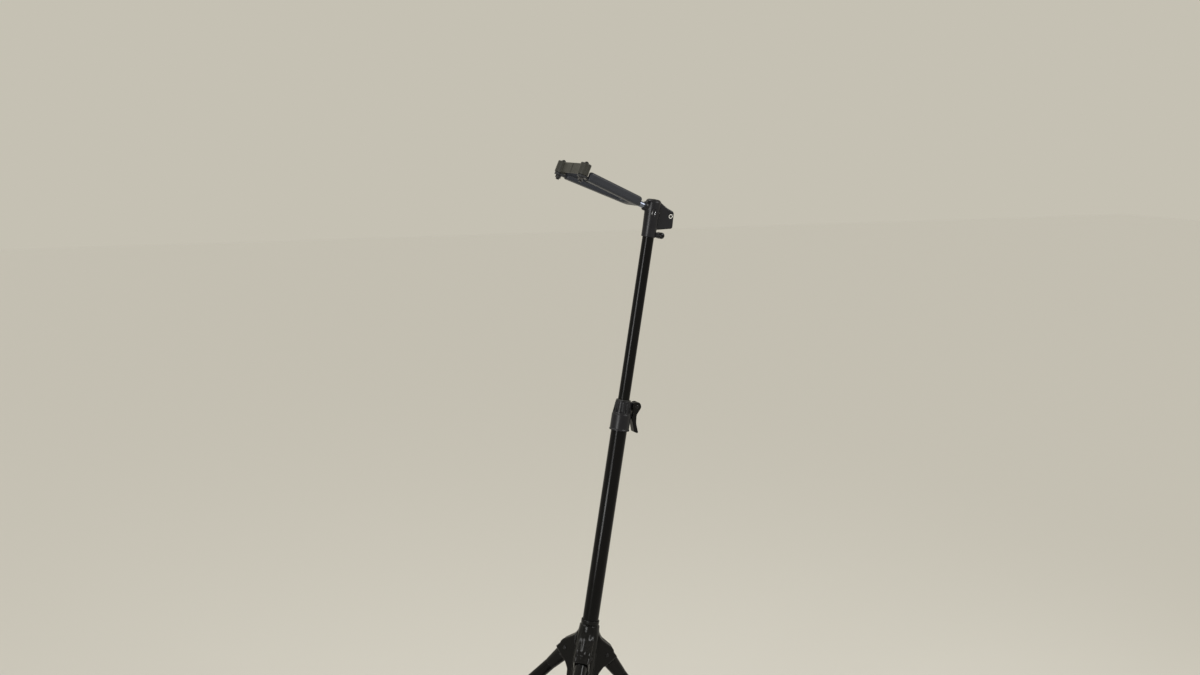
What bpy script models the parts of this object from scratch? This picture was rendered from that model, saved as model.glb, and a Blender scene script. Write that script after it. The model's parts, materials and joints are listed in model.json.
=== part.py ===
"""Guitar stand with a telescopic mast, a folding tripod base, a folding cradle and a gated yoke.

Metres, +Z up. The stand faces -Y: the yoke and the cradle reach forward, and the mast leans
back towards +Y. The origin is on the floor, under the middle of the stand's footprint.

Mast frame: its origin is the centre of the hub's top ring, +Z runs up the mast's axis, +Y is
the back and +X the right-hand side as seen from the front.
"""

import math

import bmesh
import bpy
import numpy as np
from mathutils import Euler, Matrix, Vector

# Clearances
GAP = 0.0003
LOOSE = 0.0013

# Mast
MAST_LEAN = math.radians(9.2)
RING_HEIGHT = 0.359
LOWER_TUBE_DIA = 0.025
UPPER_TUBE_DIA = 0.018
TUBE_WALL = 0.0012
TUBE_BELOW_CRADLE = 0.021
TUBE_INTO_CLUTCH = 0.024
UPPER_TUBE_LENGTH = 0.637
HEAD_ABOVE_RING = 0.604
BUSH_LENGTH = 0.026
PLUG_DEPTH = 0.018
PLUG_FLANGE = 0.003

# Leg hub
RING_WALL = 0.0015
RING_DEPTH = 0.0065
COLUMN_RADIUS = 0.018
HUB_DEPTH = 0.118
WING_WIDTH = 0.0255
WING_ROUNDING = 0.0055
LEG_PIVOT_RADIUS = 0.0318
LEG_PIVOT_DROP = 0.0538

# Legs: the angle is below the plane square to the mast, the heading is turned from the back
LEG_TUBE_DIA = 0.019
REAR_LEG_ANGLE = math.radians(45.0)
FRONT_LEG_ANGLE = math.radians(49.0)
FRONT_LEG_HEADING = math.radians(120.0)
LEG_TUBE_START = 0.0162
KNUCKLE_SPIGOT = 0.024
LEG_PIN_DIA = 0.0046
LEG_PIN_HEAD = 0.0060
BOOT_WALL = 0.0032
BOOT_LENGTH = 0.052
BOOT_SOLE = 0.0215

# Cradle
CRADLE_DROP = 0.297
CRADLE_PIVOT_REACH = 0.040
CRADLE_PIVOT_SPREAD = 0.020
CRADLE_ROD_DIA = 0.008
CRADLE_EYE_DIA = 0.014
CRADLE_EYE_WIDTH = 0.0084
CRADLE_ROOT = 0.024
CRADLE_PIN_DIA = 0.0044
CRADLE_ARM_SPREAD = 0.085
CRADLE_ARM_REACH = 0.183
CRADLE_TIP_RISE = 0.038
CRADLE_BEND = 0.017
CRADLE_PAD_DIA = 0.017
CRADLE_PAD_START = 0.036
BLOCK_ABOVE_PIVOT = 0.016
BLOCK_BELOW_PIVOT = 0.012
BLOCK_CHEEK = 0.0048
BLOCK_WALL = 0.0040
BLOCK_BOLT_DIA = 0.0045

# Clutch
CLUTCH_ABOVE_RING = 0.302
CLUTCH_SLEEVE_DIA = 0.030
CLUTCH_SLEEVE_HEIGHT = 0.0255
CLUTCH_HEIGHT = 0.0465
CLUTCH_TOP_DIA = 0.0238
CLUTCH_LIP = 0.0007
FLUTE_COUNT = 14
FLUTE_WIDTH = 0.0022
FLUTE_HEIGHT = 0.017
LINER_WALL = 0.0009
LINER_LENGTH = 0.038
LINER_FLANGE = 0.0012
LEVER_PIVOT_BACK = 0.0214
LEVER_PIVOT_RISE = 0.0395
LEVER_HUMP = 0.0074
LEVER_WIDTH = 0.014
LEVER_LENGTH = 0.042
EAR_WIDTH = 0.006
EAR_RADIUS = 0.0056
LEVER_PIN_DIA = 0.004

# Head
HEAD_SLEEVE_DIA = 0.0222
HEAD_CROWN = 0.009
HEAD_TOP_DIA = 0.0240
HEAD_HEIGHT = 0.0584
HEAD_SOCKET_DEPTH = 0.033
FIN_THICKNESS = 0.008
FIN_REACH = 0.0365
HEAD_LUG_BACK = 0.019
HEAD_LUG_RISE = 0.0048
HEAD_LUG_DIA = 0.0084
HEAD_LUG_WIDTH = 0.015
HEAD_SLIT = 0.0016
CLAMP_SCREW_DIA = 0.004
EYELET_BACK = 0.0304
EYELET_RISE = 0.0361
EYELET_DIA = 0.0066
EYELET_BORE = 0.0026
EYELET_RIM = 0.0008
GRIP_SLOT_WIDTH = 0.0024
GRIP_SLOT_HEIGHT = 0.010

# Yoke: reach is measured forward from the stem's mouth in the head, along the yoke's plane
YOKE_TILT = math.radians(14.0)
STEM_MOUTH_FORWARD = 0.0155
STEM_MOUTH_RISE = 0.0468
STEM_DIA = 0.0094
STEM_INSERT = 0.020
STEM_BOSS_DIA = 0.0146
YOKE_BACK = 0.015
YOKE_BACK_HALF_WIDTH = 0.027
YOKE_ARM_WIDTH = 0.017
YOKE_ARM_END = 0.1205
YOKE_THICKNESS = 0.0145
YOKE_THROAT = 0.030
YOKE_ROUNDING = 0.0036
FRAME_WIDTH = 0.009
FRAME_THICKNESS = 0.0035
FRAME_TOP = -0.0022
TAB_WIDTH = 0.014

# Gates
GATE_PIVOT_REACH = 0.130
GATE_PIVOT_SPREAD = 0.045
GATE_BARREL_DIA = 0.0164
GATE_HEIGHT = 0.0178
GATE_THICKNESS = 0.0040
GATE_MEETING_GAP = 0.0015
GATE_SWING = math.radians(70.0)
GATE_PIN_DIA = 0.005
GATE_NUT_WIDTH = 0.008
GATE_NUT_HEIGHT = 0.004
SPRING_WIRE = 0.0010
SPRING_DIA = 0.0092
SPRING_TURNS = 3.5
SPRING_PITCH = 0.0017
SPRING_POCKET_DIA = 0.0122
SPRING_POCKET_DEPTH = 0.0080

# Derived radii and heights
LOWER_R = LOWER_TUBE_DIA / 2
LOWER_TUBE_BELOW_RING = CRADLE_DROP + TUBE_BELOW_CRADLE
LOWER_TUBE_ABOVE_RING = CLUTCH_ABOVE_RING + TUBE_INTO_CLUTCH
UPPER_R = UPPER_TUBE_DIA / 2
LEG_R = LEG_TUBE_DIA / 2
MAST_BORE_R = LOWER_R + GAP
RING_R = MAST_BORE_R + RING_WALL
PIN_HOLE_R = LEG_PIN_DIA / 2 + GAP
CRADLE_HOLE_R = CRADLE_PIN_DIA / 2 + GAP
FRAME_MIDDLE = FRAME_TOP - FRAME_THICKNESS / 2
GATE_FOOT = FRAME_TOP + GAP
BLADE_FOOT = GATE_FOOT + 5 * GAP
EYELET_NECK_R = EYELET_DIA / 2 - EYELET_RIM
FAR = 0.2

FINISHES = {
    "gloss tube": ((0.012, 0.012, 0.013), 0.22, 0.0),
    "black moulding": ((0.016, 0.016, 0.017), 0.38, 0.0),
    "satin moulding": ((0.030, 0.030, 0.032), 0.52, 0.0),
    "rubber": ((0.022, 0.022, 0.023), 0.72, 0.0),
    "nylon": ((0.050, 0.050, 0.052), 0.45, 0.0),
    "grey steel": ((0.30, 0.33, 0.38), 0.35, 1.0),
    "zinc": ((0.55, 0.55, 0.56), 0.32, 1.0),
    "dark steel": ((0.06, 0.06, 0.065), 0.40, 1.0),
    "olive moulding": ((0.075, 0.072, 0.062), 0.55, 0.0),
}


def clear_scene():
    for old in list(bpy.data.objects):
        bpy.data.objects.remove(old, do_unlink=True)


clear_scene()
PARTS = bpy.data.collections.new("guitar_stand")
CUTTERS = bpy.data.collections.new("cutters")
for collection in (PARTS, CUTTERS):
    bpy.context.scene.collection.children.link(collection)


def frame(name, parent, place=(0.0, 0.0, 0.0), turn=(0.0, 0.0, 0.0)):
    """An empty that carries pieces: its origin is their seat or their joint's axis."""
    empty = bpy.data.objects.new(name, None)
    PARTS.objects.link(empty)
    empty.empty_display_size = 0.02
    empty.parent = parent
    empty.location = place
    empty.rotation_euler = turn
    return empty


def paint(obj, finish):
    colour, roughness, metallic = FINISHES[finish]
    material = bpy.data.materials.new(obj.name + "_finish")
    material.use_nodes = True
    shader = material.node_tree.nodes["Principled BSDF"]
    shader.inputs["Base Color"].default_value = (*colour, 1.0)
    shader.inputs["Roughness"].default_value = roughness
    shader.inputs["Metallic"].default_value = metallic
    obj.data.materials.append(material)


def add(name, mesh, parent, finish=None, place=(0.0, 0.0, 0.0), turn=(0.0, 0.0, 0.0)):
    """Put a mesh in the scene: a piece when it has a finish, and otherwise a cutter."""
    obj = bpy.data.objects.new(name, mesh)
    obj.parent = parent
    obj.location = place
    obj.rotation_euler = turn
    if finish:
        PARTS.objects.link(obj)
        paint(obj, finish)
    else:
        CUTTERS.objects.link(obj)
        obj.hide_render = True
        obj.display_type = "WIRE"
    return obj


def arc_round(corners, step=math.radians(24)):
    """Points of a polygon or path whose corners (*point, radius) are turned by tangent arcs.

    Works in two or three dimensions. The first and last corner of an open path have radius 0.
    """
    points = [np.array(corner[:-1], dtype=float) for corner in corners]
    radii = [corner[-1] for corner in corners]
    result = []
    for index, point in enumerate(points):
        radius = radii[index]
        if radius <= 0:
            result.append(point)
            continue
        before = points[index - 1] - point
        after = points[(index + 1) % len(points)] - point
        before /= np.linalg.norm(before)
        after /= np.linalg.norm(after)
        inside = math.acos(float(np.clip(before @ after, -1.0, 1.0)))
        middle = (before + after) / np.linalg.norm(before + after)
        centre = point + middle * radius / math.sin(inside / 2)
        first = point + before * radius / math.tan(inside / 2) - centre
        last = point + after * radius / math.tan(inside / 2) - centre
        sweep = math.pi - inside
        count = max(2, math.ceil(sweep / step))
        for k in range(count + 1):
            share = k / count
            ray = (math.sin((1 - share) * sweep) * first + math.sin(share * sweep) * last) / math.sin(sweep)
            result.append(centre + ray)
    return [tuple(float(c) for c in p) for p in result]


def circle_arc(centre, radius, start, end, step=math.radians(24)):
    """Points on a circle from one angle to another."""
    count = max(2, math.ceil(abs(end - start) / step))
    angles = [start + (end - start) * k / count for k in range(count + 1)]
    return [(centre[0] + radius * math.cos(a), centre[1] + radius * math.sin(a)) for a in angles]


def curve_to_mesh(name, curve, weld=1e-6):
    """The mesh of a curve, with the loose caps welded on and flat regions merged."""
    holder = bpy.data.objects.new(name, curve)
    CUTTERS.objects.link(holder)
    bpy.context.view_layer.update()
    graph = bpy.context.evaluated_depsgraph_get()
    mesh = bpy.data.meshes.new_from_object(holder.evaluated_get(graph))
    bpy.data.objects.remove(holder, do_unlink=True)
    work = bmesh.new()
    work.from_mesh(mesh)
    bmesh.ops.remove_doubles(work, verts=work.verts, dist=weld)
    bmesh.ops.dissolve_limit(work, angle_limit=math.radians(0.3), verts=work.verts, edges=work.edges)
    bmesh.ops.recalc_face_normals(work, faces=work.faces)
    work.to_mesh(mesh)
    work.free()
    mesh.name = name
    mesh.materials.clear()
    return mesh


def plate_mesh(name, outline, thickness, upright=False, shift=0.0):
    """A flat outline with a thickness, centred on its plane plus a shift.

    It lies in XY with its thickness along Z. Upright, its outline is (back, up) in YZ and its
    thickness runs along X.
    """
    curve = bpy.data.curves.new(name, "CURVE")
    curve.dimensions = "2D"
    curve.fill_mode = "BOTH"
    curve.extrude = thickness / 2
    spline = curve.splines.new("POLY")
    spline.points.add(len(outline) - 1)
    for point, (u, v) in zip(spline.points, outline):
        point.co = (u, v, 0.0, 1.0)
    spline.use_cyclic_u = True
    mesh = curve_to_mesh(name, curve)
    mesh.transform(Matrix.Translation((0.0, 0.0, shift)))
    if upright:
        mesh.transform(Euler((math.radians(90), 0.0, math.radians(90))).to_matrix().to_4x4())
    return mesh


def rod_mesh(name, path, radius, resolution=3, tip_radii=None):
    """A round bar along a path, with filled ends, 4 + 2 x resolution sides."""
    curve = bpy.data.curves.new(name, "CURVE")
    curve.dimensions = "3D"
    curve.bevel_depth = radius
    curve.bevel_resolution = resolution
    curve.use_fill_caps = True
    spline = curve.splines.new("POLY")
    spline.points.add(len(path) - 1)
    for point, place in zip(spline.points, path):
        point.co = (*place, 1.0)
    for k, share in enumerate(tip_radii or []):
        spline.points[len(path) - len(tip_radii) + k].radius = share
    return curve_to_mesh(name, curve)


def bar_mesh(name, radius, start, end, axis="X", sides=16):
    """A round bar along an axis, from start to end."""
    work = bmesh.new()
    bmesh.ops.create_cone(work, cap_ends=True, segments=sides, radius1=radius, radius2=radius,
                          depth=end - start)
    bmesh.ops.translate(work, verts=work.verts, vec=(0.0, 0.0, (start + end) / 2))
    turns = {"X": Matrix.Rotation(math.radians(90), 3, "Y"),
             "Y": Matrix.Rotation(math.radians(-90), 3, "X"),
             "Z": Matrix.Identity(3)}
    bmesh.ops.rotate(work, verts=work.verts, matrix=turns[axis])
    mesh = bpy.data.meshes.new(name)
    work.to_mesh(mesh)
    work.free()
    return mesh


def box_mesh(name, low, high):
    """A box between two corners."""
    work = bmesh.new()
    bmesh.ops.create_cube(work, size=1.0)
    low, high = Vector(low), Vector(high)
    bmesh.ops.scale(work, verts=work.verts, vec=high - low)
    bmesh.ops.translate(work, verts=work.verts, vec=(low + high) / 2)
    mesh = bpy.data.meshes.new(name)
    work.to_mesh(mesh)
    work.free()
    return mesh


def turned(name, profile, parent, finish=None, steps=32, closed=False, place=(0.0, 0.0, 0.0),
           turn=(0.0, 0.0, 0.0)):
    """A lathe shape about Z from (radius, height) points, run down the outer side."""
    mesh = bpy.data.meshes.new(name)
    vertices = [(radius, 0.0, height) for radius, height in profile]
    edges = [(k, k + 1) for k in range(len(profile) - 1)]
    if closed:
        edges.append((len(profile) - 1, 0))
    mesh.from_pydata(vertices, edges, [])
    obj = add(name, mesh, parent, finish, place, turn)
    screw = obj.modifiers.new("lathe", "SCREW")
    screw.axis = "Z"
    screw.steps = steps
    screw.render_steps = steps
    screw.use_merge_vertices = True
    screw.merge_threshold = 1e-6
    screw.use_smooth_shade = True
    return obj


def tube(name, outer, inner, bottom, top, parent, finish, steps=32, edge=0.0004, **seat):
    """A tube about Z with lightly broken edges."""
    profile = [(outer - edge, top), (outer, top - edge), (outer, bottom + edge), (outer - edge, bottom),
               (inner, bottom), (inner, top)]
    return turned(name, profile, parent, finish, steps, closed=True, **seat)


def boolean(obj, other, operation):
    step = obj.modifiers.new(operation.lower() + "_" + other.name, "BOOLEAN")
    step.operation = operation
    step.solver = "EXACT"
    step.object = other


def join(obj, *others):
    for other in others:
        boolean(obj, other, "UNION")


def cut(obj, *others):
    for other in others:
        boolean(obj, other, "DIFFERENCE")


def soften(obj, width, segments=2, angle=40.0):
    bevel = obj.modifiers.new("softened", "BEVEL")
    bevel.width = width
    bevel.segments = segments
    bevel.limit_method = "ANGLE"
    bevel.angle_limit = math.radians(angle)
    bevel.use_clamp_overlap = True


def smooth(obj, angle=35.0):
    """Smooth shading between sharp edges, kept through the modifiers."""
    obj.data.shade_smooth()
    obj.data.set_sharp_from_angle(angle=math.radians(angle))


def swing_outline(nose, half_width, start, end, reach):
    """The (back, up) region that an arm pivoting at the origin sweeps from start to end angle.

    The arm has a round nose about the pivot and runs outwards within half_width of its line.
    """
    nick = math.asin(min(1.0, half_width / nose))
    low, high = min(start, end), max(start, end)
    back = circle_arc((0.0, 0.0), nose, high + nick, low - nick + 2 * math.pi)
    low_line = np.array([math.cos(low), math.sin(low)])
    high_line = np.array([math.cos(high), math.sin(high)])
    low_side = np.array([math.sin(low), -math.cos(low)]) * half_width
    high_side = np.array([-math.sin(high), math.cos(high)]) * half_width
    middle = (low + high) / 2
    far = reach / max(math.cos((high - low) / 2), 0.3)
    outer = [low_line * reach + low_side,
             np.array([math.cos(middle), math.sin(middle)]) * far,
             high_line * reach + high_side]
    return back + [tuple(float(c) for c in p) for p in outer]


def rivet(name, radius, head_radius, half_length, head_height, parent, finish, **seat):
    """A headed pin along X, domed at both ends."""
    dome = [(head_radius * math.sin(a), head_height * math.cos(a)) for a in np.radians([0, 45, 90])]
    top = [(r, half_length + h) for r, h in dome]
    bottom = [(r, -z) for r, z in reversed(top)]
    profile = top + [(radius, half_length), (radius, -half_length)] + bottom
    obj = turned(name, profile, parent, finish, steps=16, **seat)
    obj.rotation_euler = (0.0, math.radians(90), 0.0)
    return obj


STAND = frame("stand", None)
MAST = frame("mast", STAND, (0.0, 0.0, RING_HEIGHT), (-MAST_LEAN, 0.0, 0.0))


def leg_headings():
    return {"rear": 0.0, "left": FRONT_LEG_HEADING, "right": -FRONT_LEG_HEADING}


def leg_angle(side):
    return REAR_LEG_ANGLE if side == "rear" else FRONT_LEG_ANGLE


SEATS = {side: frame("leg_seat_" + side, MAST, turn=(0.0, 0.0, heading))
         for side, heading in leg_headings().items()}


def wing_outline():
    """Side view (out from the mast, up) of one wing: hood, rim square to the leg, and skirt."""
    slope = REAR_LEG_ANGLE
    along = np.array([math.cos(slope), -math.sin(slope)])
    above = np.array([math.sin(slope), math.cos(slope)])
    pivot = np.array([LEG_PIVOT_RADIUS, -LEG_PIVOT_DROP])
    rim = LEG_TUBE_START + 2 * GAP
    roof_end = pivot - along * 0.0029 + above * (LEG_R + 0.0071)
    shoulder = pivot + along * 0.0037 + above * (LEG_R + 0.0059)
    hollow = pivot + along * 0.0066 + above * (LEG_R + 0.0039)
    rim_top = pivot + along * rim + above * (LEG_R + 0.0028)
    rim_bottom = pivot + along * rim - above * (LEG_R + 0.0014)
    crotch = pivot + along * (rim - 0.0023) - above * (LEG_R + 0.0062)
    skirt = (LEG_PIVOT_RADIUS - 0.0075, -LEG_PIVOT_DROP - 0.0318)
    inner = COLUMN_RADIUS - 0.004
    return arc_round([
        (inner, -RING_DEPTH - 0.0006, 0.0),
        (RING_R + 0.0010, -RING_DEPTH - 0.0020, 0.0),
        (RING_R + 0.0019, -0.0170, 0.014),
        (RING_R + 0.0082, -0.0270, 0.016),
        (roof_end[0], roof_end[1], 0.012),
        (shoulder[0], shoulder[1], 0.004),
        (hollow[0], hollow[1], 0.003),
        (rim_top[0], rim_top[1], 0.0),
        (rim_bottom[0], rim_bottom[1], 0.0),
        (crotch[0], crotch[1], 0.004),
        (skirt[0], skirt[1], 0.010),
        (COLUMN_RADIUS + 0.0055, -HUB_DEPTH + 0.014, 0.010),
        (COLUMN_RADIUS - 0.0015, -HUB_DEPTH + 0.0008, 0.0),
        (inner, -HUB_DEPTH + 0.0008, 0.0),
    ])


def make_leg_hub():
    ring = [(0.0, 0.0), (RING_R - 0.0008, 0.0), (RING_R, -0.0008), (RING_R, -RING_DEPTH + 0.0006),
            (RING_R - 0.0006, -RING_DEPTH)]
    collar = [(RING_R - 0.0006, -RING_DEPTH - 0.0012), (RING_R + 0.0008, -RING_DEPTH - 0.0022),
              (RING_R + 0.0014, -0.0150), (COLUMN_RADIUS, -0.0300)]
    foot = [(COLUMN_RADIUS, -HUB_DEPTH + 0.004), (COLUMN_RADIUS - 0.0015, -HUB_DEPTH), (0.0, -HUB_DEPTH)]
    hub = turned("leg_hub", ring + collar + foot, MAST, "black moulding", steps=24)
    wing_shape = plate_mesh("wing", wing_outline(), WING_WIDTH, upright=True)
    leg_radius = LEG_R + GAP
    for side, heading in leg_headings().items():
        turn = (0.0, 0.0, heading)
        wing = add("wing_" + side, wing_shape, MAST, turn=turn)
        soften(wing, WING_ROUNDING, segments=2)
        join(hub, wing)
    for side, seat in SEATS.items():
        swing = swing_outline(leg_radius, leg_radius, -math.pi / 2, -leg_angle(side), HUB_DEPTH)
        slot_shape = plate_mesh("slot", swing, 2 * leg_radius, upright=True)
        pivot = (0.0, LEG_PIVOT_RADIUS, -LEG_PIVOT_DROP)
        slot = add("leg_slot_" + side, slot_shape, seat, place=pivot)
        hole = add("leg_pin_hole_" + side, bar_mesh("hole", PIN_HOLE_R, -WING_WIDTH, WING_WIDTH), seat,
                   place=pivot)
        cut(hub, slot, hole)
    bore = add("mast_bore", bar_mesh("bore", MAST_BORE_R, -HUB_DEPTH - FAR, FAR, "Z", 24), MAST)
    cut(hub, bore)
    return hub


def leg_reach(side):
    """Distance along a leg from its pivot to the floor, with the leg open."""
    heading = leg_headings()[side]
    lean = Euler((-MAST_LEAN, 0.0, 0.0)).to_matrix()
    aside = Euler((0.0, 0.0, heading)).to_matrix()
    pivot = lean @ aside @ Vector((0.0, LEG_PIVOT_RADIUS, -LEG_PIVOT_DROP))
    angle = leg_angle(side)
    line = lean @ aside @ Vector((0.0, math.cos(angle), -math.sin(angle)))
    return (RING_HEIGHT + pivot.z) / -line.z


def make_leg(side):
    """One leg in its own frame: the pivot at the origin and the leg running down -Z."""
    seat = SEATS[side]
    pivot = (0.0, LEG_PIVOT_RADIUS, -LEG_PIVOT_DROP)
    leg = frame("leg_" + side, seat, pivot, (math.pi / 2 - leg_angle(side), 0.0, 0.0))
    reach = leg_reach(side)
    inner = LEG_R - TUBE_WALL
    nose = [((LEG_R - GAP) * math.sin(a), (LEG_R - GAP) * math.cos(a)) for a in np.radians(range(0, 91, 30))]
    spigot = inner - GAP
    spigot_end = -LEG_TUBE_START - KNUCKLE_SPIGOT
    body = nose + [(LEG_R - GAP, -LEG_TUBE_START + GAP), (spigot, -LEG_TUBE_START + GAP),
                   (spigot, spigot_end), (spigot - 0.001, spigot_end - 0.001), (0.0, spigot_end - 0.001)]
    knuckle = turned("leg_knuckle_" + side, body, leg, "satin moulding", steps=16)
    cut(knuckle, add("knuckle_hole_" + side, bar_mesh("hole", PIN_HOLE_R, -LEG_R - GAP, LEG_R + GAP), leg))
    tube("leg_tube_" + side, LEG_R, inner, -reach + BOOT_SOLE, -LEG_TUBE_START, leg, "gloss tube", steps=16)
    rivet("leg_pin_" + side, LEG_PIN_DIA / 2, LEG_PIN_HEAD / 2, WING_WIDTH / 2 + GAP, 0.0014, seat,
          "dark steel", place=pivot)
    bore = LEG_R + GAP
    outer = bore + BOOT_WALL
    rim = -reach + BOOT_LENGTH
    floor_of_bore = -reach + BOOT_SOLE - GAP
    boot = [(0.0, floor_of_bore), (bore, floor_of_bore), (bore, rim), (outer - 0.0014, rim),
            (outer - 0.0004, rim - 0.0010), (outer - 0.0004, rim - 0.0045), (outer - 0.0012, rim - 0.0055),
            (outer - 0.0004, rim - 0.0065), (outer, -reach + 0.010),
            (outer + 0.0006, -reach - 0.002), (outer - 0.002, -reach - 0.007),
            (outer - 0.006, -reach - 0.009), (0.0, -reach - 0.009)]
    foot = turned("leg_foot_" + side, boot, leg, "rubber", steps=16)
    floor = add("floor_" + side, box_mesh("floor", (-2.0, -2.0, -1.0), (2.0, 2.0, 0.0)), STAND)
    cut(foot, floor)


def make_lower_mast():
    inner = LOWER_R - TUBE_WALL
    lower = tube("lower_tube", LOWER_R, inner, -LOWER_TUBE_BELOW_RING, LOWER_TUBE_ABOVE_RING, MAST,
                 "gloss tube", steps=24)
    bolt_hole = add("lower_tube_bolt_hole",
                    bar_mesh("hole", BLOCK_BOLT_DIA / 2 + GAP, -LOWER_TUBE_DIA, LOWER_TUBE_DIA), MAST,
                    place=(0.0, 0.0, -CRADLE_DROP))
    cut(lower, bolt_hole)
    top = -LOWER_TUBE_BELOW_RING
    fit = inner - GAP
    plug = [(0.0, top + PLUG_DEPTH - 0.0095), (fit - 0.0012, top + PLUG_DEPTH - 0.0095),
            (fit, top + PLUG_DEPTH - 0.0107), (fit, top - GAP), (LOWER_R, top - GAP),
            (LOWER_R, top - PLUG_FLANGE + 0.001), (LOWER_R - 0.0014, top - PLUG_FLANGE),
            (0.0, top - PLUG_FLANGE)]
    turned("tube_end_plug", plug, MAST, "black moulding", steps=24)


def block_half_width():
    return CRADLE_PIVOT_SPREAD + CRADLE_EYE_WIDTH / 2 + GAP + BLOCK_CHEEK


def make_cradle_block():
    """Moulded block clamped round the foot of the mast, with a forked head for the two arms."""
    collar = LOWER_R + GAP + BLOCK_WALL
    eye_gap = CRADLE_EYE_DIA / 2 + GAP
    head_back = CRADLE_PIVOT_REACH - eye_gap - 0.0018
    head_front = CRADLE_PIVOT_REACH + CRADLE_EYE_DIA / 2 + 0.004
    half = block_half_width()
    neck = CRADLE_PIVOT_SPREAD - CRADLE_EYE_WIDTH / 2 - GAP
    right = [(collar, collar, collar - 0.002), (neck, -head_back + 0.006, 0.004),
             (half - 0.004, -head_back, 0.0), (half, -head_back - 0.004, 0.0), (half, -head_front, 0.003)]
    left = [(-x, y, r) for x, y, r in reversed(right)]
    height = BLOCK_ABOVE_PIVOT + BLOCK_BELOW_PIVOT
    middle = (BLOCK_ABOVE_PIVOT - BLOCK_BELOW_PIVOT) / 2
    shape = plate_mesh("block", arc_round(right + left), height, shift=middle)
    foot = (0.0, 0.0, -CRADLE_DROP)
    block = add("cradle_block", shape, MAST, "black moulding", place=foot)
    soften(block, 0.0016)
    swing = swing_outline(eye_gap, CRADLE_ROD_DIA / 2 + GAP, math.pi / 2, math.pi, 0.05)
    slot_shape = plate_mesh("slot", swing, CRADLE_EYE_WIDTH + 2 * GAP, upright=True)
    for side, sign in (("left", -1), ("right", 1)):
        place = (sign * CRADLE_PIVOT_SPREAD, -CRADLE_PIVOT_REACH, -CRADLE_DROP)
        slot = add("cradle_slot_" + side, slot_shape, MAST, place=place)
        hole = add("cradle_hole_" + side, bar_mesh("hole", CRADLE_HOLE_R, -0.012, 0.012), MAST, place=place)
        cut(block, slot, hole)
    bore = add("block_bore", bar_mesh("bore", MAST_BORE_R, -FAR, FAR, "Z", 24), MAST, place=foot)
    bolt_shape = bar_mesh("hole", BLOCK_BOLT_DIA / 2 + GAP, -0.04, 0.04)
    bolt_hole = add("block_bolt_hole", bolt_shape, MAST, place=foot)
    cut(block, bore, bolt_hole)
    seat = LOWER_R + GAP + BLOCK_WALL + GAP
    shank = BLOCK_BOLT_DIA / 2
    head = [(0.0, seat + 0.0032), (0.0034, seat + 0.0028), (0.0042, seat + 0.0010), (0.0042, seat)]
    bolt = head + [(shank, seat), (shank, -seat - 0.0052), (0.0, -seat - 0.0052)]
    turned("cradle_bolt", bolt, MAST, "zinc", steps=16, place=foot, turn=(0.0, math.radians(90), 0.0))
    nut = bar_mesh("nut", 0.0045, -seat - 0.0036, -seat, sides=6)
    nut_piece = add("cradle_bolt_nut", nut, MAST, "zinc", place=foot)
    nut_bore = bar_mesh("bore", shank + GAP, -0.04, 0.0)
    cut(nut_piece, add("cradle_nut_bore", nut_bore, MAST, place=foot))


def cradle_path(sign):
    """The bent rod from its eye: forward out of the block, outwards, then up at the tip."""
    outward = CRADLE_ARM_SPREAD
    corners = [(0.0, 0.0, 0.0, 0.0),
               (0.0, -CRADLE_ROOT, 0.0, CRADLE_BEND),
               (sign * outward, -CRADLE_ARM_REACH, 0.0, CRADLE_BEND),
               (sign * (outward + 0.003), -CRADLE_ARM_REACH - 0.005, CRADLE_TIP_RISE, 0.0)]
    return arc_round(corners, step=math.radians(18))


def along(path, start):
    """The path from a distance along it to its end."""
    points = [np.array(p) for p in path]
    travelled = 0.0
    for k in range(len(points) - 1):
        piece = float(np.linalg.norm(points[k + 1] - points[k]))
        if travelled + piece > start:
            first = points[k] + (points[k + 1] - points[k]) * (start - travelled) / piece
            return [tuple(first)] + [tuple(p) for p in points[k + 1:]]
        travelled += piece
    return path


def domed(path, radius, steps=3):
    """A path lengthened into a dome, and the share of the radius at each of its last points."""
    end = np.array(path[-1])
    line = end - np.array(path[-2])
    line /= np.linalg.norm(line)
    angles = np.radians(np.linspace(0, 80, steps + 1))
    extra = [tuple(end + line * radius * math.sin(a)) for a in angles[1:]]
    return path + extra, [math.cos(a) for a in angles]


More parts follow.
